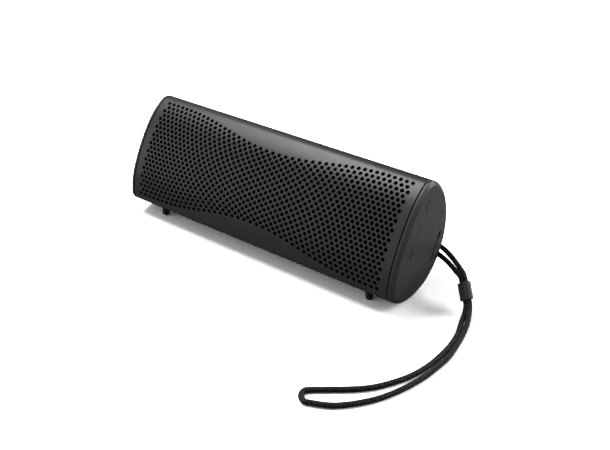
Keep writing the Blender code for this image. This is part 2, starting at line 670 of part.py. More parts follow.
def make_cord(build):
    """One closed loop of round cord."""
    line = smooth_loop(turn_round_pin() + cord_guides(), CORD_STEP)
    curve = bpy.data.curves.new("wrist_cord", "CURVE")
    curve.dimensions = "3D"
    curve.bevel_depth = CORD_RADIUS * MM
    curve.bevel_resolution = 2
    spline = curve.splines.new("POLY")
    spline.points.add(len(line) - 1)
    for point, place in zip(spline.points, line):
        point.co = (*(place * MM), 1.0)
    spline.use_cyclic_u = True
    cord = add_object("wrist_cord", curve, build.parts)
    curve.materials.append(build.materials["cord_braid"])
    return cord


def make_slider(build):
    """A rounded block with two ways through it for the strands."""
    along, across, through = slider_frame()
    body = box_mesh((SLIDER_WIDTH, SLIDER_THICK, SLIDER_LENGTH), bevel=SLIDER_BEVEL)
    slider = add_object("cord_slider", body, build.parts)
    body.materials.append(build.materials["slider_plastic"])
    turn = Matrix((across, through, along)).transposed()
    slider.rotation_euler = turn.to_euler()
    slider.location = SLIDER_CENTRE * MM
    for index, side in enumerate((-1, 1)):
        way = rod_mesh(CORD_RADIUS + GAP, -8.0, 8.0, (0, 0, 1), (side * STRAND_OFFSET, 0, 0))
        helper = add_object(f"slider_way_{index}", way, build.cutters)
        helper.rotation_euler = slider.rotation_euler
        helper.location = slider.location
        helper.hide_render = True
        helper.display_type = "WIRE"
        modifier = slider.modifiers.new(f"way {index}", "BOOLEAN")
        modifier.operation = "DIFFERENCE"
        modifier.object = helper


def runner_mesh(front, back):
    """A bar along Y with round ends and a chamfered sole."""
    half, middle = FOOT_WIDTH / 2, (front + back) / 2
    outline = []
    for end in (-1, 1):
        for step in range(7):
            turn = math.pi * step / 6 + (0 if end > 0 else math.pi)
            outline.append((half * math.cos(turn), end * ((back - front) / 2 - half) + half * math.sin(turn)))
    work = bmesh.new()
    rings = []
    for height, inset in ((0.0, FOOT_EDGE), (FOOT_EDGE, 0.0), (FOOT_TALL, 0.0)):
        shrink = (half - inset) / half
        rings.append([work.verts.new((px * shrink, middle + py * shrink, height)) for px, py in outline])
    for low, high in zip(rings, rings[1:]):
        for k, vert in enumerate(low):
            after = (k + 1) % len(low)
            work.faces.new((vert, low[after], high[after], high[k]))
    work.faces.new(rings[0])
    work.faces.new(rings[-1])
    return tidy_mesh(work, "foot")


def make_foot(build, side_name, x):
    """A rubber runner with a round peg in front of it, joined by a web under the curve of the casing."""
    peg = runner_mesh(FOOT_FRONT, FOOT_FRONT + FOOT_WIDTH)
    peg.materials.append(build.materials["foot_rubber"])
    foot = add_object(f"{side_name}_foot", peg, build.parts)
    foot.location.x = x * MM
    web_size = (WEB_WIDTH, RUNNER_FRONT - FOOT_FRONT, FOOT_TALL - 2 * WEB_RISE)
    web = box_mesh(web_size, (0, (RUNNER_FRONT + FOOT_FRONT + FOOT_WIDTH) / 2, FOOT_TALL / 2))
    build.join(foot, [runner_mesh(RUNNER_FRONT, FOOT_BACK), web])
    seat = plate_mesh([section(-FINE_GAP)], x - FOOT_WIDTH, x + FOOT_WIDTH)
    above = add_object(f"{side_name}_foot_seat", seat, build.cutters, build.lean)
    above.hide_render = True
    above.display_type = "WIRE"
    modifier = foot.modifiers.new("seat", "BOOLEAN")
    modifier.operation = "DIFFERENCE"
    modifier.object = above


# ---------------------------------------------------------------- the build

MATERIALS = {
    "casing_metal": ((0.045, 0.046, 0.050), 0.42, 0.6),
    "cap_plastic": ((0.040, 0.040, 0.042), 0.5, 0.0),
    "cover_rubber": ((0.035, 0.035, 0.037), 0.6, 0.0),
    "seal_rubber": ((0.010, 0.010, 0.010), 0.7, 0.0),
    "foot_rubber": ((0.03, 0.03, 0.03), 0.75, 0.0),
    "acoustic_cloth": ((0.005, 0.005, 0.005), 0.95, 0.0),
    "cord_braid": ((0.020, 0.020, 0.020), 0.8, 0.0),
    "slider_plastic": ((0.050, 0.050, 0.050), 0.45, 0.0),
    "light_guide": ((0.006, 0.006, 0.007), 0.2, 0.0),
    "screw_steel": ((0.35, 0.35, 0.36), 0.35, 1.0),
    "socket_steel": ((0.45, 0.45, 0.46), 0.3, 1.0),
    "switch_metal": ((0.5, 0.5, 0.5), 0.35, 1.0),
    "driver_steel": ((0.06, 0.06, 0.06), 0.45, 0.8),
    "magnet_ferrite": ((0.05, 0.05, 0.055), 0.6, 0.2),
    "cone_paper": ((0.03, 0.03, 0.032), 0.7, 0.0),
    "chassis_plastic": ((0.025, 0.025, 0.027), 0.55, 0.0),
    "circuit_board": ((0.01, 0.09, 0.04), 0.5, 0.0),
    "cell_wrap": ((0.03, 0.10, 0.30), 0.4, 0.0),
    "ribbon_film": ((0.45, 0.20, 0.05), 0.4, 0.0),
}


class Build:
    """Holds the collections, the leant frame and the materials that the pieces share."""

    def __init__(self):
        clear_scene()
        self.parts = collection("shower_speaker")
        self.cutters = collection("cutters", shown=False)
        self.lean = bpy.data.objects.new("leant_frame", None)
        self.parts.objects.link(self.lean)
        self.lean.rotation_euler.x = -LEAN
        self.lean.location = (0, -DEPTH_SHIFT * MM, FRONT_HEIGHT * MM)
        self.materials = {name: material(name, *look) for name, look in MATERIALS.items()}

    def piece(self, name, mesh, look, location=(0, 0, 0)):
        """A named object in the leant frame, with its origin at a place given in millimetres."""
        mesh.name = name
        mesh.materials.append(self.materials[look])
        obj = add_object(name, mesh, self.parts, self.lean)
        obj.location = Vector(location) * MM
        return obj

    def cut(self, obj, meshes):
        return combine(obj, meshes, "DIFFERENCE", self.cutters)

    def join(self, obj, meshes):
        return combine(obj, meshes, "UNION", self.cutters)


def main():
    build = Build()
    make_casing(build)
    for side_name, side in (("left", -1), ("right", 1)):
        make_gasket(build, side_name, side)
        make_driver(build, side_name, side * DRIVER_X)
        make_foot(build, side_name, side * FOOT_X)
    make_left_cap(build)
    make_right_cap(build)
    make_keys(build)
    make_light_guides(build)
    make_cap_screws(build)
    make_chassis(build)
    make_passive_radiator(build)
    make_battery(build)
    make_boards(build)
    make_charging_socket(build)
    make_socket_cover(build)
    make_strap_anchor(build)
    make_cord(build)
    make_slider(build)
    bpy.context.view_layer.update()


main()
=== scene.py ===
"""A portable shower speaker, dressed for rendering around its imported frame.

Lengths are in millimetres until a mesh is made, and then in metres. The speaker's own frame is upright:
X runs along the casing with the control panel at +X, depth is measured back from the middle of the front,
and height up from it. place() leans that frame back into the row frame.
"""

import json
import math

import bmesh
import bpy
import numpy as np
from mathutils import Matrix, Vector
from mathutils.geometry import delaunay_2d_cdt


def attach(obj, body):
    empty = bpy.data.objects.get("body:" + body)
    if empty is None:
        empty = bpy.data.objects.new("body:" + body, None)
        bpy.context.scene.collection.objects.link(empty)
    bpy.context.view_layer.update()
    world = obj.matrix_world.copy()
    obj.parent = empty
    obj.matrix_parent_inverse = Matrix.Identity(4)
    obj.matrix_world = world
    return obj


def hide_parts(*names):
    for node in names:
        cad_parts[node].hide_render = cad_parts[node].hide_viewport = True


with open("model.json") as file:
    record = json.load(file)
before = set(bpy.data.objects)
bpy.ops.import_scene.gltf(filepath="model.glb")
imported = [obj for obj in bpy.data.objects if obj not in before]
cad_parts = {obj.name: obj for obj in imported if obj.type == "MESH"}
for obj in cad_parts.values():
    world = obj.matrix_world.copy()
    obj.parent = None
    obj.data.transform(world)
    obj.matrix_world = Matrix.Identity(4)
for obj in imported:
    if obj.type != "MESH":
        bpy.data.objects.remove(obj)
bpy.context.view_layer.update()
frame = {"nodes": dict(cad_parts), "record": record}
NODES = frame["nodes"]
SLOTS = {part["node"]: part["material_slot"] for part in frame["record"]["subparts"]}
FINISHES = {entry["slot"]: entry for entry in frame["record"]["materials"]}

MM = 0.001
BODY = "speaker"

# Driving dimensions, which follow the frame's own.
FRONT_RADIUS, FRONT_ANGLE = 120.0, 7.8
SHOULDER_RADIUS, SHOULDER_ANGLE = 48.5, 21.0
TOP_RADIUS, TOP_ANGLE = 9.6, 64.4
BOTTOM_RADIUS, BOTTOM_ANGLE = 7.0, 49.5
LEAN = math.radians(31.5)
FRONT_HEIGHT, DEPTH_SHIFT = 48.2, 19.46
HALF_LENGTH, CAP_EDGE, CAP_START, CASING_END = 106.8, 105.3, 103.8, 103.1
CHAMFER, WALL, GAP, FINE_GAP = 2.6, 1.8, 0.3, 0.15
CAP_LIP = CHAMFER + 0.2                # how far in the panel's opening starts
SPIGOT_END, SPIGOT_WALL = 100.5, 2.0   # the cap's ring inside the casing
PANEL_BACK, WEB_FRONT, WEB_BACK = 105.2, 105.0, 103.2
ICON_DEPTH, ICON_PITCH, VOLUME_UP_HEIGHT = 14.0, 15.0, 23.0
LIGHT_DEPTH, PAIRING_HEIGHT, STATUS_HEIGHT = 42.3, -0.9, 8.0
LIGHT_HEIGHTS = (4.0, 1.9, -4.0, -7.2)
MICROPHONE_HEIGHT = VOLUME_UP_HEIGHT - 3 * ICON_PITCH
KEY_PIT, MICROPHONE_PIT, PAIRING_PIT, LIGHT_PIT, SCREW_PIT = 4.6, 2.6, 1.75, 0.8, 3.2    # radii in the web
PIT_START, PIT_END = 102.0, 107.5
STATUS_PIT, STATUS_HOLE = (2.0, 4.9, 0.5), (2.5, 5.3, 0.6)      # width, height and corner radius
LIGHT_HOLE, MICROPHONE_HOLE = 0.95, 0.65
SCREW_DEPTH, SCREW_HEIGHT = 27.0, 29.5
SOCKET_DEPTH, COVER_WIDTH, COVER_HEIGHT, COVER_THICK = 24.0, 9.0, 16.0, 1.2
SOCKET_WIDTH, SOCKET_HEIGHT = 6.0, 13.0
ANCHOR_X, PIN_DEPTH, ANCHOR_HEIGHT = 94.0, 51.6, -2.2
PIN_RADIUS, CORD_RADIUS = 1.6, 1.55
FOOT_X, FOOT_WIDTH, FOOT_FRONT, FOOT_BACK = 85.0, 4.6, -22.8, 16.0
FOOT_TALL = 13.0
RUNNER_FRONT, WEB_WIDTH, WEB_RISE = -13.0, 2.6, 1.8   # the long part of a foot, and the web to its peg
CORD_REST = 1.6
EXIT_DEPTH, EXIT_SPREAD, EXIT_RISE = 55.5, 0.6, 3.6
TIP_CENTRE, TIP_RADIUS = (110.0, -113.0), 5.2
SLIDER_CENTRE = Vector((134.8, 6.2, 11.5))
SLIDER_HEADING = Vector((0.52, -0.45, -0.73)).normalized()
SLIDER_ROLL = math.radians(9.0)
SLIDER_LENGTH, SLIDER_WIDTH, SLIDER_THICK = 10.6, 9.4, 5.4
STRAND_OFFSET, STRAIGHT_REACH = 2.1, 7.6

# Detail that is only here, or finer here than in the frame.
BRAID_STRANDS, BRAID_PITCH, BRAID_DEPTH = 7, 1.4, 0.26     # strands each way round, their spacing and relief
CORD_SIDES, CORD_STEP = 40, 0.27
FOOT_EDGE = 1.5
LIGHT_SIDES, CORNER_STEPS = 16, 8
EDGE_ROUND, PANEL_ROUND, SEAL_INSET = 0.12, 0.08, 0.45
WELD = 1e-6                            # metres to merge points within
SAME_PLACE, SLIVER = 1e-6, 1e-9        # millimetres and square millimetres that count as none

FLOOR_SEEN, FLOOR_BOUNCE = 2.6, 0.25   # the floor's brightness to a camera, and to all other rays
FLOOR_REACH = 1.3                      # metres
WORLD_LEFT, WORLD_RIGHT = 0.6, 0.03
CAMERA_PLACE, CAMERA_AZIMUTH, CAMERA_ELEVATION = (324.94, -403.66, 318.83), 36.92, 30.69
CAMERA_LENS, CAMERA_SENSOR, CAMERA_SHIFT = 53.8, 36.0, 0.0008

# The grille: rows of holes whose field is low in the middle and tall at both ends.
GRILLE_ROWS, GRILLE_COLUMNS = 11, 44            # rows above the middle one, and half-columns beside it
HOLE_RADIUS, HOLE_CHAMFER, HOLE_SIDES = 1.27, 0.06, 18
FIELD_LENGTH = 96.6
FIELD_SPREAD, FIELD_SKEW, FIELD_BEND = 8.24, 0.57, 4.73
FIELD_END_HEIGHT, FIELD_WAIST, WAIST_POWER, FIELD_RISE = 32.24, 9.55, 3.5, 0.3


# ---------------------------------------- the section, as a chain of tangent arcs

def chain_end(chain):
    """Where a chain of arcs ends, from the origin heading up: (depth, height, turned)."""
    depth = height = turned = 0.0
    for radius, angle in chain:
        after = turned + math.radians(angle)
        depth += radius * (math.cos(turned) - math.cos(after))
        height += radius * (math.sin(after) - math.sin(turned))
        turned = after
    return depth, height, turned


def section_arcs():
    """All eight arcs; the two at the rear take the radii that close the chain."""
    front = [(FRONT_RADIUS, FRONT_ANGLE), (SHOULDER_RADIUS, SHOULDER_ANGLE)]
    top_depth, top_height, top_turn = chain_end(front + [(TOP_RADIUS, TOP_ANGLE)])
    low_depth, low_height, low_turn = chain_end(front + [(BOTTOM_RADIUS, BOTTOM_ANGLE)])
    a1, b1, c1 = math.cos(top_turn) + 1, -(math.cos(low_turn) + 1), low_depth - top_depth
    a2, b2, c2 = math.sin(top_turn), math.sin(low_turn), top_height + low_height
    scale = a1 * b2 - a2 * b1
    rear_top, rear_low = (c1 * b2 - c2 * b1) / scale, (a1 * c2 - a2 * c1) / scale
    rear = [(rear_top, 180.0 - math.degrees(top_turn)), (rear_low, 180.0 - math.degrees(low_turn))]
    return front + [(TOP_RADIUS, TOP_ANGLE)] + rear + [(BOTTOM_RADIUS, BOTTOM_ANGLE)] + front[::-1]


ARC_RADII, ARC_ANGLES = np.array(section_arcs()).T
ARC_LENGTHS = ARC_RADII * np.radians(ARC_ANGLES)
ARC_STARTS = np.concatenate([[0.0], np.cumsum(ARC_LENGTHS)[:-1]])
ARC_POINTS = np.array([chain_end(section_arcs()[:count]) for count in range(len(ARC_RADII))])
PERIMETER = float(ARC_LENGTHS.sum())
FRONT_END, REAR_START, REAR_END = ARC_STARTS[[2, 3, 5]]


def section_at(along, inset=0.0):
    """(depth, height, heading) at distances up and round the section from the middle of the front."""
    along = np.mod(np.asarray(along, float), PERIMETER)
    arc = np.clip(np.searchsorted(ARC_STARTS, along, side="right") - 1, 0, len(ARC_RADII) - 1)
    radius, heading = ARC_RADII[arc], ARC_POINTS[arc, 2]
    turn = heading + (along - ARC_STARTS[arc]) / radius
    depth = ARC_POINTS[arc, 0] + radius * (np.cos(heading) - np.cos(turn))
    height = ARC_POINTS[arc, 1] + radius * (np.sin(turn) - np.sin(heading))
    return depth + inset * np.cos(turn), height - inset * np.sin(turn), turn


def section_stations(turn_step=3.0, longest=2.5):
    """Distances round the section, at most some degrees and some millimetres apart."""
    stations = []
    for start, length, radius in zip(ARC_STARTS, ARC_LENGTHS, ARC_RADII):
        count = math.ceil(length / min(longest, radius * math.radians(turn_step)))
        stations += [start + length * k / count for k in range(count)]
    return np.array(stations)


def section_outline(inset):
    depth, height, _ = section_at(section_stations(), inset)
    return list(zip(depth.tolist(), height.tolist()))


def place(x, depth, height):
    """Points of the speaker's own frame, in metres of the row frame."""
    x, depth, height = np.broadcast_arrays(*(np.asarray(v, float) for v in (x, depth, height)))
    return MM * np.stack([
        x,
        depth * math.cos(LEAN) + height * math.sin(LEAN) - DEPTH_SHIFT,
        -depth * math.sin(LEAN) + height * math.cos(LEAN) + FRONT_HEIGHT,
    ], axis=-1)


def lean_directions(x, depth, height):
    """Directions of the speaker's own frame, turned into the row frame."""
    return (place(x, depth, height) - place(0, 0, 0)) / MM


LEAN_MATRIX = Matrix((
    (1, 0, 0, 0),
    (0, math.cos(LEAN), math.sin(LEAN), -DEPTH_SHIFT * MM),
    (0, -math.sin(LEAN), math.cos(LEAN), FRONT_HEIGHT * MM),
    (0, 0, 0, 1),
))


# ---------------------------------------- outlines, in (depth, height)

def circle(radius, centre, steps=32):
    return [
        (centre[0] + radius * math.cos(turn), centre[1] + radius * math.sin(turn))
        for turn in (math.tau * k / steps for k in range(steps))
    ]


def rounded_box(width, height, radius, centre=(0.0, 0.0)):
    points = []
    for corner, (sx, sy) in enumerate(((1, 1), (-1, 1), (-1, -1), (1, -1))):
        mid = (centre[0] + sx * (width / 2 - radius), centre[1] + sy * (height / 2 - radius))
        for step in range(CORNER_STEPS + 1):
            turn = math.radians(90 * (corner + step / CORNER_STEPS))
            points.append((mid[0] + radius * math.cos(turn), mid[1] + radius * math.sin(turn)))
    return points


def cross_outline(reach, half_width, centre, turn=0.0):
    """A plus sign whose arms taper a little towards their ends."""
    end = 0.94 * half_width
    quarter = [(reach, -end), (reach, end), (half_width, half_width)]
    points = []
    for side in range(4):
        angle = math.radians(90 * side + turn)
        for x, y in quarter:
            points.append((
                centre[0] + x * math.cos(angle) - y * math.sin(angle),
                centre[1] + x * math.sin(angle) + y * math.cos(angle),
            ))
    return points


def fillet(points, radii, steps=5):
    """An open line of (x, y) corners with each inner corner rounded to its radius."""
    line = [points[0]]
    for before, here, after, radius in zip(points, points[1:], points[2:], radii):
        p, a, b = (np.array(v, float) for v in (here, before, after))
        to_a, to_b = (a - p) / np.linalg.norm(a - p), (b - p) / np.linalg.norm(b - p)
        half = math.acos(float(np.clip(to_a @ to_b, -1, 1))) / 2
        if radius <= 0 or half > math.radians(89):
            line.append(here)
            continue
        reach = radius / math.tan(half)
        centre = p + (to_a + to_b) / np.linalg.norm(to_a + to_b) * radius / math.sin(half)
        first, last = p + to_a * reach - centre, p + to_b * reach - centre
        angle = math.acos(float(np.clip(first @ last / radius ** 2, -1, 1)))
        for step in range(steps + 1):
            share = step / steps
            mix = (math.sin((1 - share) * angle) * first + math.sin(share * angle) * last) / math.sin(angle)
            line.append(tuple(centre + mix))
    return line + [points[-1]]


# ---------------------------------------- meshes

def new_object(name, data):
    obj = bpy.data.objects.new(name, data)
    bpy.context.scene.collection.objects.link(obj)
    return obj


def evaluated_mesh(obj):
    graph = bpy.context.evaluated_depsgraph_get()
    return bpy.data.meshes.new_from_object(obj.evaluated_get(graph))


def smooth(obj, angle=30.0):
    """Smooth shading that stays crisp over edges sharper than the angle."""
    obj.data.shade_smooth()
    obj.data.set_sharp_from_angle(angle=math.radians(angle))
    modifier = obj.modifiers.new("weighted normals", "WEIGHTED_NORMAL")
    modifier.keep_sharp = True
    return obj


def finish_bmesh(work, name):
    bmesh.ops.remove_doubles(work, verts=work.verts, dist=WELD)
    bmesh.ops.recalc_face_normals(work, faces=work.faces)
    mesh = bpy.data.meshes.new(name)
    work.to_mesh(mesh)
    work.free()
    return mesh


def plate_mesh(outlines, start, end, rounding=0.0, frame_matrix=LEAN_MATRIX):
    """A flat piece across X with holes and rounded edges, from a filled 2D curve, put into a frame."""
    curve = bpy.data.curves.new("outline", "CURVE")
    curve.dimensions = "2D"
    curve.fill_mode = "BOTH"
    curve.extrude = abs(end - start) / 2 - rounding
    curve.bevel_depth = rounding
    curve.bevel_resolution = 2
    curve.offset = -rounding
    for outline in outlines:
        spline = curve.splines.new("POLY")
        spline.points.add(len(outline) - 1)
        for point, (depth, height) in zip(spline.points, outline):
            point.co = (depth, height, 0.0, 1.0)
        spline.use_cyclic_u = True
    guide = new_object("outline", curve)
    flat = evaluated_mesh(guide)
    work = bmesh.new()
    work.from_mesh(flat)
    bpy.data.objects.remove(guide)
    bpy.data.meshes.remove(flat)
    turn = Matrix(((0, 0, 1), (1, 0, 0), (0, 1, 0)))
    bmesh.ops.rotate(work, matrix=turn, verts=work.verts)
    bmesh.ops.translate(work, vec=((start + end) / 2, 0, 0), verts=work.verts)
    bmesh.ops.remove_doubles(work, verts=work.verts, dist=1e-4)
    bmesh.ops.scale(work, vec=(MM, MM, MM), verts=work.verts)
    bmesh.ops.transform(work, matrix=frame_matrix, verts=work.verts)
    return finish_bmesh(work, "plate")


def ring_mesh(rings, name, closed=False):
    """A skin over rings of points, capped at both ends unless it closes on itself."""
    work = bmesh.new()
    rings = [[work.verts.new(point) for point in ring] for ring in rings]
    pairs = list(zip(rings, rings[1:]))
    if closed:
        pairs.append((rings[-1], rings[0]))
    for near, far in pairs:
        for k, vert in enumerate(near):
            after = (k + 1) % len(near)
            work.faces.new((vert, near[after], far[after], far[k]))
    if not closed:
        work.faces.new(rings[0])
        work.faces.new(rings[-1])
    return finish_bmesh(work, name)


def loft_mesh(profile, closed=False):
    """A skin over the section, whose profile is a line of (x, inset)."""
    stations = section_stations(3.0, 3.0)
    rings = []
    for x, inset in profile:
        depth, height, _ = section_at(stations, inset)
        rings.append(place(x, depth, height))
    return ring_mesh(rings, "loft", closed)


def combine(obj, meshes, operation="DIFFERENCE"):
    """Cuts each mesh from an object or adds it, at once, and keeps the result as a plain mesh."""
    helpers = []
    for index, mesh in enumerate(meshes):
        helper = new_object(f"cutter_{index}", mesh)
        modifier = obj.modifiers.new(f"cut {index}", "BOOLEAN")
        modifier.operation = operation
        modifier.object = helper
        helpers.append(helper)
    mesh = evaluated_mesh(obj)
    obj.modifiers.clear()
    obj.data = mesh
    for helper in helpers:
        bpy.data.objects.remove(helper)


# ---------------------------------------- materials

class Look:
    """One material: a Principled shader in a record slot's colour, with textures laid on in object space."""

    def __init__(self, slot, roughness, metallic=0.0, specular=0.5):
        self.slot = slot
        self.colour = FINISHES[slot]["base_color"]
        self.material = bpy.data.materials.new(slot)
        self.material.use_nodes = True
        self.tree = self.material.node_tree
        self.shader = self.tree.nodes["Principled BSDF"]
        self.roughness = roughness
        self.set(self.shader, {
            "Base Color": (*self.colour, 1.0), "Roughness": roughness,
            "Metallic": metallic, "Specular IOR Level": specular,
        })
        self.coordinates = self.tree.nodes.new("ShaderNodeTexCoord").outputs["Object"]

    @staticmethod
    def set(node, values):
        for name, value in values.items():
            node.inputs[name].default_value = value

    def node(self, kind, values=None, **settings):
        made = self.tree.nodes.new(kind)
        for name, value in settings.items():
            setattr(made, name, value)
        self.set(made, values or {})
        return made

    def place(self, turn=(0.0, 0.0, 0.0), stretch=(1.0, 1.0, 1.0)):
        """Object coordinates in millimetres, turned and stretched."""
        mapping = self.node("ShaderNodeMapping", {"Rotation": turn, "Scale": [1000.0 * v for v in stretch]})
        self.tree.links.new(self.coordinates, mapping.inputs["Vector"])
        return mapping.outputs["Vector"]

    def noise(self, size, detail=3.0, stretch=(1.0, 1.0, 1.0)):
        """Cloudy noise with features of about a size in millimetres."""
        texture = self.node("ShaderNodeTexNoise", {"Scale": 1.0 / size, "Detail": detail, "Roughness": 0.55})
        self.tree.links.new(self.place(stretch=stretch), texture.inputs["Vector"])
        return texture.outputs["Fac"]

    def cells(self, size):
        texture = self.node("ShaderNodeTexVoronoi", {"Scale": 1.0 / size}, feature="F1")
        self.tree.links.new(self.place(), texture.inputs["Vector"])
        return texture.outputs["Distance"]

    def waves(self, size, direction, turn=(0.0, 0.0, 0.0), distort=0.0):
        """Even bands a size in millimetres apart."""
        values = {"Scale": math.pi / (10.0 * size), "Distortion": distort}
        texture = self.node("ShaderNodeTexWave", values, wave_type="BANDS", bands_direction=direction)
        self.tree.links.new(self.place(turn), texture.inputs["Vector"])
        return texture.outputs["Fac"]

    def math(self, operation, a, b):
        made = self.node("ShaderNodeMath", operation=operation)
        for socket, value in zip(made.inputs, (a, b)):
            if isinstance(value, (int, float)):
                socket.default_value = value
            else:
                self.tree.links.new(value, socket)
        return made.outputs["Value"]

    def remap(self, source, low, high, start=0.0, end=1.0):
        values = {"From Min": start, "From Max": end, "To Min": low, "To Max": high}
        made = self.node("ShaderNodeMapRange", values)
        self.tree.links.new(source, made.inputs["Value"])
        return made.outputs["Result"]

    def tint(self, source, dark, light):
        """Runs the colour from dark times to light times the slot's colour."""
        mix = self.node("ShaderNodeMix", data_type="RGBA")
        self.tree.links.new(source, mix.inputs["Factor"])
        for name, scale in (("A", dark), ("B", light)):
            mix.inputs[name].default_value = (*(scale * c for c in self.colour), 1.0)
        self.tree.links.new(mix.outputs["Result"], self.shader.inputs["Base Color"])

    def rough(self, source, spread):
        low, high = max(0.0, self.roughness - spread), min(1.0, self.roughness + spread)
        self.tree.links.new(self.remap(source, low, high), self.shader.inputs["Roughness"])

    def relief(self, source, height):
        """Raises the surface by up to a height in millimetres."""
        bump = self.node("ShaderNodeBump", {"Distance": height * MM, "Strength": 1.0})
        self.tree.links.new(source, bump.inputs["Height"])
        self.tree.links.new(bump.outputs["Normal"], self.shader.inputs["Normal"])


def grained(slot, roughness, grain, height, metallic=0.0, specular=0.5, mottle=0.12):
    """A moulded, blasted or coated surface: a fine grain, and slow changes of tone and gloss."""
    look = Look(slot, roughness, metallic, specular)
    look.tint(look.noise(14.0), 1.0 - mottle, 1.0 + mottle)
    look.rough(look.noise(5.0), 0.04)
    look.relief(look.noise(grain, 2.0), height)
    return look


def brushed(slot, roughness, stretch):
    """Drawn or ground metal, with fine lines along its length."""
    look = Look(slot, roughness, 1.0)
    lines = look.noise(0.12, 2.0, stretch)
    look.tint(lines, 0.8, 1.15)
    look.rough(lines, 0.08)
    look.relief(lines, 0.004)
    return look


def woven(slot, pitch):
    """Plain-woven cloth: two crossed sets of threads."""
    look = Look(slot, 0.95, specular=0.15)
    lean = (LEAN, 0.0, 0.0)
    weft, warp = look.waves(pitch, "X", lean), look.waves(pitch, "Z", lean)
    weave = look.math("MAXIMUM", weft, warp)
    look.tint(weave, 0.5, 1.4)
    look.rough(look.noise(0.3), 0.04)
    look.relief(weave, 0.05)
    return look


def braided(slot):
    """Twisted yarn on the cord's strands: fine fibres and a soft sheen."""
    look = Look(slot, 0.8, specular=0.2)
    fibres = look.noise(0.22, 3.0)
    flecks = look.remap(look.noise(0.8, 2.0), 0.0, 1.0, 0.38, 0.66)
    look.tint(look.math("MULTIPLY", flecks, look.remap(fibres, 0.4, 1.6)), 0.1, 2.6)
    look.rough(look.noise(1.5), 0.08)
    look.relief(fibres, 0.03)
    Look.set(look.shader, {"Sheen Weight": 0.03, "Sheen Roughness": 0.4})
    return look


def clear_dark(slot):
    """Smoked clear plastic with faint flow marks."""
    look = Look(slot, 0.5, specular=0.05)
    look.tint(look.noise(3.0), 0.3, 1.1)
    look.rough(look.noise(1.0), 0.05)
    look.relief(look.noise(0.8), 0.004)
    return look


def board(slot):
    """Green solder mask over copper tracks, with rows of bare pads."""
    look = Look(slot, 0.4)
    tracks = look.math("MAXIMUM", look.waves(1.6, "X", distort=3.0), look.waves(2.1, "Z", distort=4.0))
    edge = look.remap(tracks, 0.0, 1.0, 0.86, 0.94)
    look.tint(edge, 0.75, 1.9)
    look.rough(look.noise(2.0), 0.06)
    look.relief(edge, 0.03)
    Look.set(look.shader, {"Coat Weight": 0.4, "Coat Roughness": 0.2})
    return look


def wrapped_cell(slot):
    """Shrink film over a can, with a few drawn-in wrinkles."""
    look = Look(slot, 0.28)
    wrinkles = look.noise(2.5, 2.0, (0.25, 1.0, 1.0))
    look.tint(look.noise(9.0), 0.85, 1.2)
    look.rough(wrinkles, 0.06)
    look.relief(wrinkles, 0.03)
    return look


def ribbon(slot):
    """Amber film over parallel copper lines."""
    look = Look(slot, 0.35)
    lines = look.remap(look.waves(0.3, "Z", (LEAN, 0.0, 0.0)), 0.0, 1.0, 0.35, 0.65)
    look.tint(lines, 0.55, 1.4)
    look.rough(look.noise(1.0), 0.05)
    look.relief(lines, 0.02)
    return look


def cone_pulp(slot):
    """Pressed paper pulp: short fibres and faint rings."""
    look = Look(slot, 0.75, specular=0.3)
    fibres = look.noise(0.35, 4.0)
    look.tint(fibres, 0.6, 1.6)
    look.rough(look.noise(2.0), 0.06)
    look.relief(look.math("ADD", fibres, look.cells(0.6)), 0.03)
    return look


def make_looks():
    """Each slot's finish, by the slot's name."""
    looks = [
        grained("casing_metal", 0.38, 0.35, 0.006, 0.35, mottle=0.04),
        grained("cap_plastic", 0.46, 0.3, 0.008, mottle=0.05),
        grained("cover_rubber", 0.6, 0.4, 0.012),
        grained("seal_rubber", 0.65, 0.4, 0.012, specular=0.3),
        grained("foot_rubber", 0.6, 0.5, 0.02),
        grained("slider_plastic", 0.4, 0.35, 0.008, mottle=0.06),
        grained("chassis_plastic", 0.5, 0.6, 0.015),
        grained("driver_steel", 0.42, 0.5, 0.012, 0.6),
        grained("magnet_ferrite", 0.6, 0.25, 0.02, 0.1, mottle=0.25),
        woven("acoustic_cloth", 0.35),
        braided("cord_braid"),
        clear_dark("light_guide"),
        brushed("screw_steel", 0.3, (0.05, 1.0, 1.0)),
        brushed("socket_steel", 0.28, (0.05, 1.0, 1.0)),
        brushed("switch_metal", 0.35, (1.0, 0.05, 1.0)),
        board("circuit_board"),
        wrapped_cell("cell_wrap"),
        ribbon("ribbon_film"),
        cone_pulp("cone_paper"),
    ]
    return {look.slot: look.material for look in looks}


LOOKS = make_looks()


def stand_for(obj, node, body=BODY):
    """The piece takes a node's place: it rides on its body, the node is hidden, and the piece takes the look
    of the node's material slot.
    """
    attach(obj, body)
    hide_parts(node)
    obj.data.materials.clear()
    obj.data.materials.append(LOOKS[SLOTS[node]])


# ---------------------------------------- the perforated casing

def grille_holes():
    """Centres of the grille holes, as (x, distance up the section)."""
    front = np.linspace(-FRONT_END, FRONT_END, 400)
    heights = section_at(front)[1]
    centres = []
    for row in range(-GRILLE_ROWS, GRILLE_ROWS + 1):
        up = row / GRILLE_ROWS
        for column in range(-GRILLE_COLUMNS + (row + 1) % 2, GRILLE_COLUMNS + 1, 2):
            out = column / GRILLE_COLUMNS
            wave = math.sin(math.pi * out)
            x = FIELD_LENGTH * out + (FIELD_SPREAD - FIELD_BEND * up ** 2) * wave
            x += FIELD_SKEW * math.sin(math.tau * out)
            waist = FIELD_WAIST * max(0.0, math.cos(math.pi * out / 2)) ** WAIST_POWER
            height = FIELD_RISE + up * (FIELD_END_HEIGHT - waist)
            centres.append((x, float(np.interp(height, heights, front))))
    return np.array(centres)


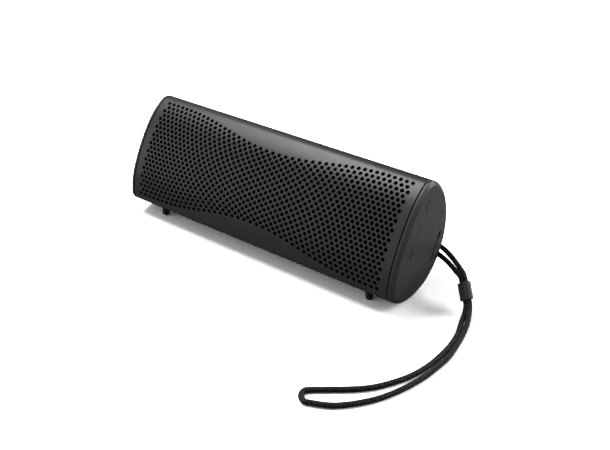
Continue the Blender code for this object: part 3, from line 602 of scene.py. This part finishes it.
def ring_around(centre, reach_x, reach_s, steps, power=2.0):
    """Points of a superellipse about a centre; a power of 2 makes it round."""
    points = []
    for k in range(steps):
        turn = math.tau * (k + 0.5) / steps
        c, s = math.cos(turn), math.sin(turn)
        points.append((
            centre[0] + reach_x * math.copysign(abs(c) ** (2 / power), c),
            centre[1] + reach_s * math.copysign(abs(s) ** (2 / power), s),
        ))
    return np.array(points)


def hole_ring(centre, wider=0.0):
    return ring_around(centre, HOLE_RADIUS + wider, HOLE_RADIUS + wider, HOLE_SIDES)


class CasingPlan:
    """The casing's skin unrolled flat and cut along its rear corner.

    X runs across and the distance round the section runs up. Every opening is a ring of points: its wide form
    is the chamfer's rim and its narrow form the hole itself.
    """

    EDGE = 0.3                                  # rounding of the tube's two ends
    WINDOW_X, WINDOW_S, WINDOW_CHAMFER = 4.3, 6.5, 0.25
    WINDOW_SIDES, WINDOW_POWER = 40, 7.0
    HOLE_MARGIN, WINDOW_MARGIN = 1.0, 1.2       # kept free of the grid's own points
    COLUMNS = 42

    def __init__(self):
        self.seam = REAR_END - PERIMETER
        self.centres = grille_holes()
        rear = np.linspace(REAR_START, REAR_END, 600)
        self.window = (ANCHOR_X, float(np.interp(-ANCHOR_HEIGHT, -section_at(rear)[1], rear)))
        self.rings = [(hole_ring(centre, HOLE_CHAMFER), hole_ring(centre)) for centre in self.centres]
        self.rings.append((self.window_ring(self.WINDOW_CHAMFER), self.window_ring()))

    def window_ring(self, wider=0.0):
        reach_x, reach_s = self.WINDOW_X + wider, self.WINDOW_S + wider
        return ring_around(self.window, reach_x, reach_s, self.WINDOW_SIDES, self.WINDOW_POWER)

    def grid(self):
        """Stations between the openings, and the two long edges that meet when the skin is rolled up."""
        half = CASING_END - self.EDGE
        xs = np.linspace(-half, half, self.COLUMNS)
        ss = section_stations(5.0, 3.0)
        ss = np.unique(np.where(ss >= REAR_END - SAME_PLACE, ss - PERIMETER, ss))
        points = [(x, s) for s in ss for x in xs if s > self.seam + SAME_PLACE]
        keep = [(x, s) for x, s in points if abs(x) > half - SAME_PLACE or not self.near_opening(x, s)]
        edges = [(x, s) for s in (self.seam, self.seam + PERIMETER) for x in xs]
        return np.array(edges), np.array(keep)

    def near_opening(self, x, s):
        if np.min(np.hypot(self.centres[:, 0] - x, self.centres[:, 1] - s)) < HOLE_RADIUS + self.HOLE_MARGIN:
            return True
        off_x, off_s = abs(x - self.window[0]), abs(s - self.window[1])
        return off_x < self.WINDOW_X + self.WINDOW_MARGIN and off_s < self.WINDOW_S + self.WINDOW_MARGIN


def casing_triangles(plan):
    """The unrolled skin as points, their ring numbers and triangles, with the openings left out."""
    seams, free = plan.grid()
    width = plan.COLUMNS
    rings = [ring for ring, _ in plan.rings]
    points = np.concatenate([seams, free, *rings])
    ring_of = np.full(len(points), -1)
    edges = []
    first = len(seams) + len(free)
    for number, ring in enumerate(rings):
        size = len(ring)
        ring_of[first:first + size] = number
        edges += [(first + k, first + (k + 1) % size) for k in range(size)]
        first += size
    edges += [(k, k + 1) for k in range(width - 1)]
    edges += [(width + k, width + k + 1) for k in range(width - 1)]
    made = delaunay_2d_cdt([Vector(p) for p in points.tolist()], edges, [], 0, 1e-7)
    if len(made[0]) != len(points):
        raise ValueError("the casing's openings touch each other")
    triangles = np.array(made[2])
    inside = ring_of[triangles]
    hole = (inside[:, 0] >= 0) & (inside[:, 0] == inside[:, 1]) & (inside[:, 1] == inside[:, 2])
    corners = points[triangles]
    a, b = corners[:, 1] - corners[:, 0], corners[:, 2] - corners[:, 0]
    area = np.abs(a[:, 0] * b[:, 1] - a[:, 1] * b[:, 0])
    return points, ring_of, triangles[~hole & (area > SLIVER)]


class MeshParts:
    """Gathers points and faces whose shading normals are known exactly."""

    def __init__(self):
        self.points, self.faces, self.normals, self.count = [], [], [], 0

    def add_points(self, points):
        self.points.append(points)
        self.count += len(points)
        return np.arange(self.count - len(points), self.count)

    def add_faces(self, faces, normals):
        self.faces.append(np.asarray(faces))
        self.normals.append(np.asarray(normals))

    def strip(self, near, far, near_normals, far_normals):
        """Quads between two equal rings of points."""
        near_after, far_after = np.roll(near_normals, -1, 0), np.roll(far_normals, -1, 0)
        self.add_faces(
            np.stack([near, np.roll(near, -1), np.roll(far, -1), far], 1),
            np.stack([near_normals, near_after, far_after, far_normals], 1),
        )

    def build(self, name):
        """One mesh of all the faces, without the points that no face uses."""
        used = np.unique(np.concatenate([group.ravel() for group in self.faces]))
        points = np.concatenate(self.points)[used]
        faces = [face for group in self.faces for face in np.searchsorted(used, group).tolist()]
        mesh = bpy.data.meshes.new(name)
        mesh.from_pydata(points.tolist(), [], faces)
        mesh.shade_smooth()
        normals = np.concatenate([group.reshape(-1, 3) for group in self.normals])
        normals /= np.linalg.norm(normals, axis=1)[:, None]
        mesh.normals_split_custom_set(normals.tolist())
        return mesh


def skin_points(points, inset):
    """Unrolled points put on the skin or below it, and the skin's outward directions there."""
    depth, height, turn = section_at(points[:, 1], inset)
    return place(points[:, 0], depth, height), lean_directions(0 * turn, -np.cos(turn), np.sin(turn))


def make_casing():
    plan = CasingPlan()
    points, ring_of, triangles = casing_triangles(plan)
    same = np.arange(len(points))
    same[plan.COLUMNS:2 * plan.COLUMNS] = same[:plan.COLUMNS]     # the two long edges are one when rolled up
    parts = MeshParts()
    outer_xyz, out = skin_points(points, 0.0)
    outer = parts.add_points(outer_xyz)[same]
    narrow = points.copy()
    narrow[ring_of >= 0] = np.concatenate([ring for _, ring in plan.rings])
    half = CASING_END - plan.EDGE
    at_end = np.abs(np.abs(points[:, 0]) - half) < SAME_PLACE
    narrow[at_end, 0] = np.sign(points[at_end, 0]) * CASING_END
    inner_xyz, _ = skin_points(narrow, WALL)
    inner = parts.add_points(inner_xyz)[same]
    turned = triangles[:, [0, 2, 1]]
    parts.add_faces(outer[triangles], out[triangles])
    parts.add_faces(inner[turned], -out[turned])
    add_opening_walls(parts, plan, points, narrow, ring_of, outer, inner, out)
    add_tube_ends(parts, plan, points, at_end, outer, inner, out)
    stand_for(new_object("perforated_casing", parts.build("casing")), "casing")


def add_opening_walls(parts, plan, points, narrow, ring_of, outer, inner, out):
    """A chamfer and a straight wall round each opening."""
    chamfer_xyz, _ = skin_points(narrow, HOLE_CHAMFER)
    for number in range(len(plan.rings)):
        ids = np.flatnonzero(ring_of == number)
        centre = points[ids].mean(0)
        away = points[ids] - centre
        turn = section_at(points[ids, 1])[2]
        inward = -lean_directions(away[:, 0], away[:, 1] * np.sin(turn), away[:, 1] * np.cos(turn))
        inward /= np.linalg.norm(inward, axis=1)[:, None]
        slope = inward + out[ids]
        rim = parts.add_points(chamfer_xyz[ids])
        parts.strip(outer[ids], rim, slope, slope)
        parts.strip(rim, inner[ids], inward, inward)


def add_tube_ends(parts, plan, points, at_end, outer, inner, out):
    """The rounded rim at each end of the tube."""
    for side in (-1, 1):
        ids = np.flatnonzero(at_end & (np.sign(points[:, 0]) == side))
        ids = ids[np.argsort(points[ids, 1])][:-1]
        rim_points = np.stack([np.full(len(ids), side * CASING_END), points[ids, 1]], 1)
        rim = parts.add_points(skin_points(rim_points, plan.EDGE)[0])
        along = np.tile([float(side), 0.0, 0.0], (len(ids), 1))
        order = slice(None, None, -side)
        parts.strip(outer[ids][order], rim[order], out[ids][order], along[order])
        parts.strip(rim[order], inner[ids][order], along[order], along[order])


# ---------------------------------------- caps, panels and gaskets

def cap_profile(side):
    """(x, inset) round a cap's moulding, from the web's front face to its back face."""
    spigot = WALL + GAP
    corners = [
        (WEB_FRONT, CAP_LIP), (HALF_LENGTH, CAP_LIP), (HALF_LENGTH, CHAMFER), (CAP_EDGE, 0.0),
        (CAP_START, 0.0), (CAP_START, spigot), (SPIGOT_END, spigot),
        (SPIGOT_END, spigot + SPIGOT_WALL), (WEB_BACK, spigot + SPIGOT_WALL),
    ]
    radii = (0.08, 0.1, 0.25, 0.2, 0.0, 0.3, 0.3)
    return [(side * x, inset) for x, inset in fillet(corners, radii)]


def key_places():
    """Where the volume up, play and volume down keys are."""
    return [(ICON_DEPTH, VOLUME_UP_HEIGHT - ICON_PITCH * row) for row in range(3)]


def socket_way():
    return rounded_box(SOCKET_WIDTH, SOCKET_HEIGHT, 1.0, (SOCKET_DEPTH, 0.0))


def panel_pits(side):
    """Ways through the web behind a panel, each as an outline."""
    if side < 0:
        return [socket_way()]
    pits = [circle(KEY_PIT, middle) for middle in key_places()]
    pits.append(circle(MICROPHONE_PIT, (ICON_DEPTH, MICROPHONE_HEIGHT)))
    pits.append(circle(PAIRING_PIT, (LIGHT_DEPTH, PAIRING_HEIGHT)))
    pits.append(rounded_box(*STATUS_PIT, (LIGHT_DEPTH, STATUS_HEIGHT)))
    return pits + [circle(LIGHT_PIT, (LIGHT_DEPTH, height), LIGHT_SIDES) for height in LIGHT_HEIGHTS]


def make_cap_frame(side_name, side):
    cap = new_object(f"{side_name}_cap_moulding", loft_mesh(cap_profile(side)))
    screws = [circle(SCREW_PIT, (SCREW_DEPTH, sign * SCREW_HEIGHT)) for sign in (-1, 1)]
    cutters = [plate_mesh([pit], side * PIT_START, side * PIT_END) for pit in panel_pits(side) + screws]
    combine(cap, cutters)
    stand_for(smooth(cap, 20.0), f"{side_name}_cap_frame")


def key_cuts():
    """The panel's cut-outs round the crowns of the four keys, a little wider than the crowns."""
    up, play, down = key_places()
    return [
        cross_outline(3.12, 0.82, up),
        *(circle(0.87, (play[0], play[1] + step)) for step in (-2.1, 0.0, 2.1)),
        rounded_box(1.64, 6.24, 0.42, down),
        cross_outline(1.7, 0.65, (LIGHT_DEPTH, PAIRING_HEIGHT), 45),
    ]


def make_right_panel():
    """The panel with its cut-outs for the keys, the microphone and the lights."""
    holes = key_cuts()
    holes.append(circle(MICROPHONE_HOLE, (ICON_DEPTH, MICROPHONE_HEIGHT)))
    holes.append(rounded_box(*STATUS_HOLE, (LIGHT_DEPTH, STATUS_HEIGHT)))
    holes += [circle(LIGHT_HOLE, (LIGHT_DEPTH, height), LIGHT_SIDES) for height in LIGHT_HEIGHTS]
    outlines = [section_outline(CAP_LIP + FINE_GAP), *holes]
    panel = new_object("control_panel_face", plate_mesh(outlines, PANEL_BACK, HALF_LENGTH, PANEL_ROUND))
    stand_for(smooth(panel), "right_cap_panel")


def make_left_panel():
    """The panel with its way to the socket, and a recess round that for the cover."""
    outlines = [section_outline(CAP_LIP + FINE_GAP), socket_way()]
    panel = new_object("socket_panel_face", plate_mesh(outlines, -PANEL_BACK, -HALF_LENGTH, PANEL_ROUND))
    recess = rounded_box(COVER_WIDTH + 2 * GAP, COVER_HEIGHT + 2 * GAP, 0.8, (SOCKET_DEPTH, 0.0))
    combine(panel, [plate_mesh([recess], -HALF_LENGTH + COVER_THICK + 0.1, -HALF_LENGTH - 1.0)])
    stand_for(smooth(panel), "left_cap_panel")


def make_gasket(side_name, side):
    """A seal with a round lip, set a little below the casing's surface."""
    near, far = CASING_END + FINE_GAP, CAP_START - FINE_GAP
    corners = [(near, WALL), (near, SEAL_INSET), (far, SEAL_INSET), (far, WALL)]
    profile = [(side * x, inset) for x, inset in fillet(corners, (0.15, 0.15), 4)]
    gasket = new_object(f"{side_name}_seal", loft_mesh(profile, closed=True))
    stand_for(smooth(gasket), f"{side_name}_gasket")


# ---------------------------------------- the cord, its slider and the feet

def slider_frame():
    """The slider's three directions: along the strands, across both strands, and through its thickness."""
    level = Vector((SLIDER_HEADING.x, SLIDER_HEADING.y, 0)).normalized()
    upright = (level * -SLIDER_HEADING.z + Vector((0, 0, 1)) * level.dot(SLIDER_HEADING)).normalized()
    across = upright * math.cos(SLIDER_ROLL) - SLIDER_HEADING.cross(upright) * math.sin(SLIDER_ROLL)
    return SLIDER_HEADING, across, SLIDER_HEADING.cross(across)


def strand_through_slider(side):
    along, across, _ = slider_frame()
    middle = SLIDER_CENTRE + across * (STRAND_OFFSET * side)
    return [middle - along * STRAIGHT_REACH, middle + along * STRAIGHT_REACH]


def world_point(x, depth, height):
    return Vector(place(x, depth, height) / MM)


def lying(points):
    """Guides for cord that lies on the floor."""
    return [Vector((x, y, CORD_REST)) for x, y in points]


def cord_guides():
    """Control points of the loop: out of the anchor, through the slider, round the floor and back."""
    exits = [
        world_point(ANCHOR_X + side * EXIT_SPREAD, EXIT_DEPTH, ANCHOR_HEIGHT + side * EXIT_RISE)
        for side in (1, -1)
    ]
    upper_rise = [Vector((104.8, 28.7, 19.9)), Vector((115.8, 21.0, 21.4)), Vector((126.6, 13.2, 20.6))]
    lower_rise = [Vector((101.5, 27.2, 15.5)), Vector((113.0, 21.8, 16.3)), Vector((123.5, 14.7, 16.3))]
    landing_out, landing_in = Vector((146.5, -13.0, 2.4)), Vector((142.8, -12.5, 2.2))
    outer_floor = lying([(151.0, -37.0), (151.0, -52.5), (147.5, -73.0), (139.0, -94.0), (125.5, -110.5)])
    inner_floor = lying([
        (108.0, -108.5), (129.5, -91.0), (141.0, -73.5), (146.3, -56.5), (147.5, -37.0), (146.0, -23.5),
    ])
    turns = [math.radians(turn) for turn in range(-70, -230, -32)]
    tip = lying([
        (TIP_CENTRE[0] + TIP_RADIUS * math.cos(turn), TIP_CENTRE[1] + TIP_RADIUS * math.sin(turn))
        for turn in turns
    ])
    down = strand_through_slider(1) + [landing_out] + outer_floor
    up = inner_floor + [landing_in] + strand_through_slider(-1)[::-1]
    return [exits[0]] + upper_rise + down + tip + up + lower_rise[::-1] + [exits[1]]


def turn_round_pin():
    """The cord's half turn behind the pin, from the lower strand to the upper one."""
    radius = PIN_RADIUS + CORD_RADIUS + GAP
    points = []
    for step in range(7):
        turn = math.pi * step / 6
        points.append(world_point(
            ANCHOR_X + EXIT_SPREAD * (step / 3 - 1),
            PIN_DEPTH - radius * math.sin(turn),
            ANCHOR_HEIGHT - radius * math.cos(turn),
        ))
    return points


def smooth_loop(guides, spacing):
    """A closed Catmull-Rom line through the guides, straight between the two ends of the slider."""
    count = len(guides)
    straight = {tuple(point) for side in (1, -1) for point in strand_through_slider(side)}
    line = []
    for k in range(count):
        before, here, after, beyond = (guides[(k + shift) % count] for shift in (-1, 0, 1, 2))
        steps = max(1, round((after - here).length / spacing))
        both_straight = tuple(here) in straight and tuple(after) in straight
        for step in range(steps):
            t = step / steps
            if both_straight:
                line.append(here.lerp(after, t))
                continue
            point = 0.5 * (
                2 * here + (after - before) * t
                + (2 * before - 5 * here + 4 * after - beyond) * t ** 2
                + (3 * here - before - 3 * after + beyond) * t ** 3
            )
            point.z = max(point.z, CORD_REST)
            line.append(point)
    return line


def even_line(points, spacing):
    """The points of a closed line, evenly spaced, and its length."""
    ring = np.array([*points, points[0]])
    travelled = np.concatenate([[0.0], np.cumsum(np.linalg.norm(np.diff(ring, axis=0), axis=1))])
    at = np.linspace(0.0, travelled[-1], round(travelled[-1] / spacing), endpoint=False)
    return np.stack([np.interp(at, travelled, ring[:, axis]) for axis in range(3)], 1), travelled[-1]


def carried_frames(line):
    """Two directions across a closed line, carried along it without twist and eased so that they close."""
    tangents = np.roll(line, -1, 0) - np.roll(line, 1, 0)
    tangents /= np.linalg.norm(tangents, axis=1)[:, None]
    normal = np.cross(tangents[0], (0.0, 0.0, 1.0))
    normals = []
    for tangent in [*tangents, tangents[0]]:
        normal = normal - tangent * (normal @ tangent)
        normal /= np.linalg.norm(normal)
        normals.append(normal)
    first, last = normals[0], normals.pop()
    gap = math.atan2(last @ np.cross(tangents[0], first), last @ first)
    normals = np.array(normals)
    sides = np.cross(tangents, normals)
    turn = (-gap * np.arange(len(line)) / len(line))[:, None]
    return normals * np.cos(turn) + sides * np.sin(turn), sides * np.cos(turn) - normals * np.sin(turn)


def braid_relief(around, along):
    """Height of a tubular braid, 0 to 1: two sets of round strands that pass over and under each other."""
    right, left = around + along, around - along
    crown_right = np.sqrt(1.0 - 3.6 * (right - np.round(right)) ** 2)
    crown_left = np.sqrt(1.0 - 3.6 * (left - np.round(left)) ** 2)
    over = 0.5 * np.cos(math.pi * right) * np.cos(math.pi * left)
    return (np.maximum(crown_right + over, crown_left - over) - 0.3) / 1.2


def make_cord():
    """One closed loop of braided cord."""
    line, length = even_line(smooth_loop(turn_round_pin() + cord_guides(), 0.5), CORD_STEP)
    normals, sides = carried_frames(line)
    crossings = round(length / BRAID_PITCH)
    around = np.arange(CORD_SIDES) / CORD_SIDES
    along = np.arange(len(line)) / len(line)
    relief = braid_relief(BRAID_STRANDS * around[None, :], crossings * along[:, None])
    radius = (CORD_RADIUS - 0.6 * BRAID_DEPTH + BRAID_DEPTH * relief)[..., None]
    out = normals[:, None] * np.cos(math.tau * around)[None, :, None]
    out = out + sides[:, None] * np.sin(math.tau * around)[None, :, None]
    points = (line[:, None] + radius * out).reshape(-1, 3) * MM
    rings = np.arange(len(points)).reshape(len(line), CORD_SIDES)
    beyond = np.roll(rings, -1, 0)
    quads = np.stack([rings, np.roll(rings, -1, 1), np.roll(beyond, -1, 1), beyond], -1).reshape(-1, 4)
    mesh = bpy.data.meshes.new("cord")
    mesh.from_pydata(points.tolist(), [], quads.tolist())
    mesh.shade_smooth()
    stand_for(new_object("braided_cord", mesh), "wrist_cord")


def make_slider():
    """A block with well rounded edges and two ways through it for the strands."""
    along, across, through = slider_frame()
    matrix = Matrix((along, across, through)).transposed().to_4x4()
    matrix.translation = SLIDER_CENTRE * MM
    ways = [circle(CORD_RADIUS + GAP, (side * STRAND_OFFSET, 0.0), 40) for side in (-1, 1)]
    outline = rounded_box(SLIDER_WIDTH, SLIDER_THICK, 1.9)
    mesh = plate_mesh([outline, *ways], -SLIDER_LENGTH / 2, SLIDER_LENGTH / 2, 0.4, matrix)
    slider = smooth(new_object("rounded_slider", mesh), 40.0)
    stand_for(slider, "cord_slider", "slider")


def runner_mesh(x, front, back):
    """A rubber bar along Y with round ends and a rounded sole."""
    half = FOOT_WIDTH / 2
    turns = [math.radians(15 * step) for step in range(25)]
    quarter, back_half, front_half = turns[:7], turns[:13], turns[12:]
    profile = [
        (half - FOOT_EDGE * (1 - math.sin(turn)), FOOT_EDGE * (1 - math.cos(turn))) for turn in quarter
    ]
    corners = [(back - half, turn) for turn in back_half] + [(front + half, turn) for turn in front_half]
    rings = []
    for radius, height in profile + [(half, FOOT_TALL)]:
        ring = [(x + radius * math.cos(turn), y + radius * math.sin(turn), height) for y, turn in corners]
        rings.append([Vector(point) * MM for point in ring])
    return ring_mesh(rings, "foot")


def make_foot(side_name, x):
    """A runner with a round peg in front of it, joined by a web and cut to the casing's curve above."""
    foot = new_object(f"{side_name}_rubber_bar", runner_mesh(x, FOOT_FRONT, FOOT_FRONT + FOOT_WIDTH))
    work = bmesh.new()
    bmesh.ops.create_cube(work, size=1.0)
    size = Vector((WEB_WIDTH, RUNNER_FRONT - FOOT_FRONT, FOOT_TALL - 2 * WEB_RISE))
    bmesh.ops.scale(work, vec=size * MM, verts=work.verts)
    centre = Vector((x, (RUNNER_FRONT + FOOT_FRONT + FOOT_WIDTH) / 2, FOOT_TALL / 2))
    bmesh.ops.translate(work, vec=centre * MM, verts=work.verts)
    combine(foot, [runner_mesh(x, RUNNER_FRONT, FOOT_BACK), finish_bmesh(work, "web")], "UNION")
    combine(foot, [plate_mesh([section_outline(-FINE_GAP)], x - FOOT_WIDTH, x + FOOT_WIDTH)])
    stand_for(smooth(foot, 35.0), f"{side_name}_foot")


# ---------------------------------------- pieces kept from the frame

def dress_nodes():
    """The frame's own pieces keep their shape: they take their slot's look, and sharp edges a small round."""
    for name, node in NODES.items():
        node.data.materials.clear()
        node.data.materials.append(LOOKS[SLOTS[name]])
        node.data.attributes.remove(node.data.attributes["custom_normal"])
        node.data.shade_smooth()
        weld = node.modifiers.new("weld", "WELD")
        weld.merge_threshold = 2e-6
        flatten = node.modifiers.new("flatten", "DECIMATE")
        flatten.decimate_type = "DISSOLVE"
        flatten.angle_limit = math.radians(1.0)
        edges = node.modifiers.new("edges", "BEVEL")
        edges.width = EDGE_ROUND * MM
        edges.segments = 2
        edges.limit_method = "ANGLE"
        edges.angle_limit = math.radians(32.0)
        edges.harden_normals = True


# ---------------------------------------- stage, light and camera

def make_camera():
    """The viewpoint: to the right of the front and above, looking down at the middle."""
    data = bpy.data.cameras.new("camera")
    camera = new_object("camera", data)
    azimuth, elevation = math.radians(CAMERA_AZIMUTH), math.radians(CAMERA_ELEVATION)
    camera.location = Vector(CAMERA_PLACE) * MM
    level = math.cos(elevation)
    heading = Vector((-math.sin(azimuth) * level, math.cos(azimuth) * level, -math.sin(elevation)))
    camera.rotation_euler = heading.to_track_quat("-Z", "Y").to_euler()
    data.lens, data.sensor_width = CAMERA_LENS, CAMERA_SENSOR
    data.shift_x, data.shift_y = -CAMERA_SHIFT, CAMERA_SHIFT
    data.clip_start, data.clip_end = 0.01, 20.0
    bpy.context.scene.camera = camera


def add_softbox(name, location, target, size, power):
    data = bpy.data.lights.new(name, "AREA")
    data.shape = "RECTANGLE"
    data.size, data.size_y = size
    data.energy = power
    lamp = new_object(name, data)
    lamp.location = location
    lamp.rotation_euler = (Vector(target) - lamp.location).to_track_quat("-Z", "Y").to_euler()


def grey(value):
    return (value, value, value, 1.0)


def make_stage():
    """A pale floor, which shows white but lights the underside of the speaker only softly."""
    mesh = bpy.data.meshes.new("floor")
    corners = [(x * FLOOR_REACH, y * FLOOR_REACH, 0) for x, y in ((-1, -1), (1, -1), (1, 1), (-1, 1))]
    mesh.from_pydata(corners, [], [(0, 1, 2, 3)])
    floor = new_object("floor", mesh)
    look = bpy.data.materials.new("floor_paper")
    look.use_nodes = True
    tree = look.node_tree
    soft = tree.nodes["Principled BSDF"]
    soft.inputs["Base Color"].default_value = grey(FLOOR_BOUNCE)
    soft.inputs["Roughness"].default_value = 0.9
    soft.inputs["Specular IOR Level"].default_value = 0.1
    seen = tree.nodes.new("ShaderNodeBsdfDiffuse")
    seen.inputs["Color"].default_value = grey(FLOOR_SEEN)
    mix = tree.nodes.new("ShaderNodeMixShader")
    tree.links.new(tree.nodes.new("ShaderNodeLightPath").outputs["Is Camera Ray"], mix.inputs["Fac"])
    tree.links.new(soft.outputs["BSDF"], mix.inputs[1])
    tree.links.new(seen.outputs["BSDF"], mix.inputs[2])
    tree.links.new(mix.outputs["Shader"], tree.nodes["Material Output"].inputs["Surface"])
    mesh.materials.append(look)


def make_world():
    """A white backdrop that lights softly from the left and hardly at all from the right."""
    world = bpy.data.worlds.new("studio")
    bpy.context.scene.world = world
    world.use_nodes = True
    tree = world.node_tree
    background = tree.nodes["Background"]
    direction = tree.nodes.new("ShaderNodeVectorMath")
    direction.operation = "DOT_PRODUCT"
    direction.inputs[1].default_value = (0.85, 0.5, 0.0)
    tree.links.new(tree.nodes.new("ShaderNodeTexCoord").outputs["Generated"], direction.inputs[0])
    fade = tree.nodes.new("ShaderNodeMapRange")
    fade.interpolation_type = "SMOOTHSTEP"
    Look.set(fade, {"From Min": -1.0, "From Max": 0.2, "To Min": WORLD_LEFT, "To Max": WORLD_RIGHT})
    tree.links.new(direction.outputs["Value"], fade.inputs["Value"])
    seen = tree.nodes.new("ShaderNodeMath")
    seen.operation = "MAXIMUM"
    tree.links.new(fade.outputs["Result"], seen.inputs[0])
    tree.links.new(tree.nodes.new("ShaderNodeLightPath").outputs["Is Camera Ray"], seen.inputs[1])
    tree.links.new(seen.outputs["Value"], background.inputs["Strength"])
    background.inputs["Color"].default_value = grey(1.0)


def make_light():
    make_world()
    add_softbox("overhead", (-0.52, 0.03, 1.2), (0.0, 0.0, 0.04), (0.85, 0.55), 14.2)
    add_softbox("side", (0.95, 0.95, 0.5), (0.1, 0.0, 0.04), (1.0, 1.0), 18.0)
    add_softbox("left", (-0.86, -0.59, 0.31), (-0.05, 0.0, 0.05), (0.5, 0.5), 0.7)
    bpy.context.scene.view_settings.view_transform = "Standard"


def main():
    dress_nodes()
    make_casing()
    for side_name, side in (("left", -1), ("right", 1)):
        make_cap_frame(side_name, side)
        make_gasket(side_name, side)
        make_foot(side_name, side * FOOT_X)
    make_right_panel()
    make_left_panel()
    make_cord()
    make_slider()
    make_stage()
    make_light()
    make_camera()


main()
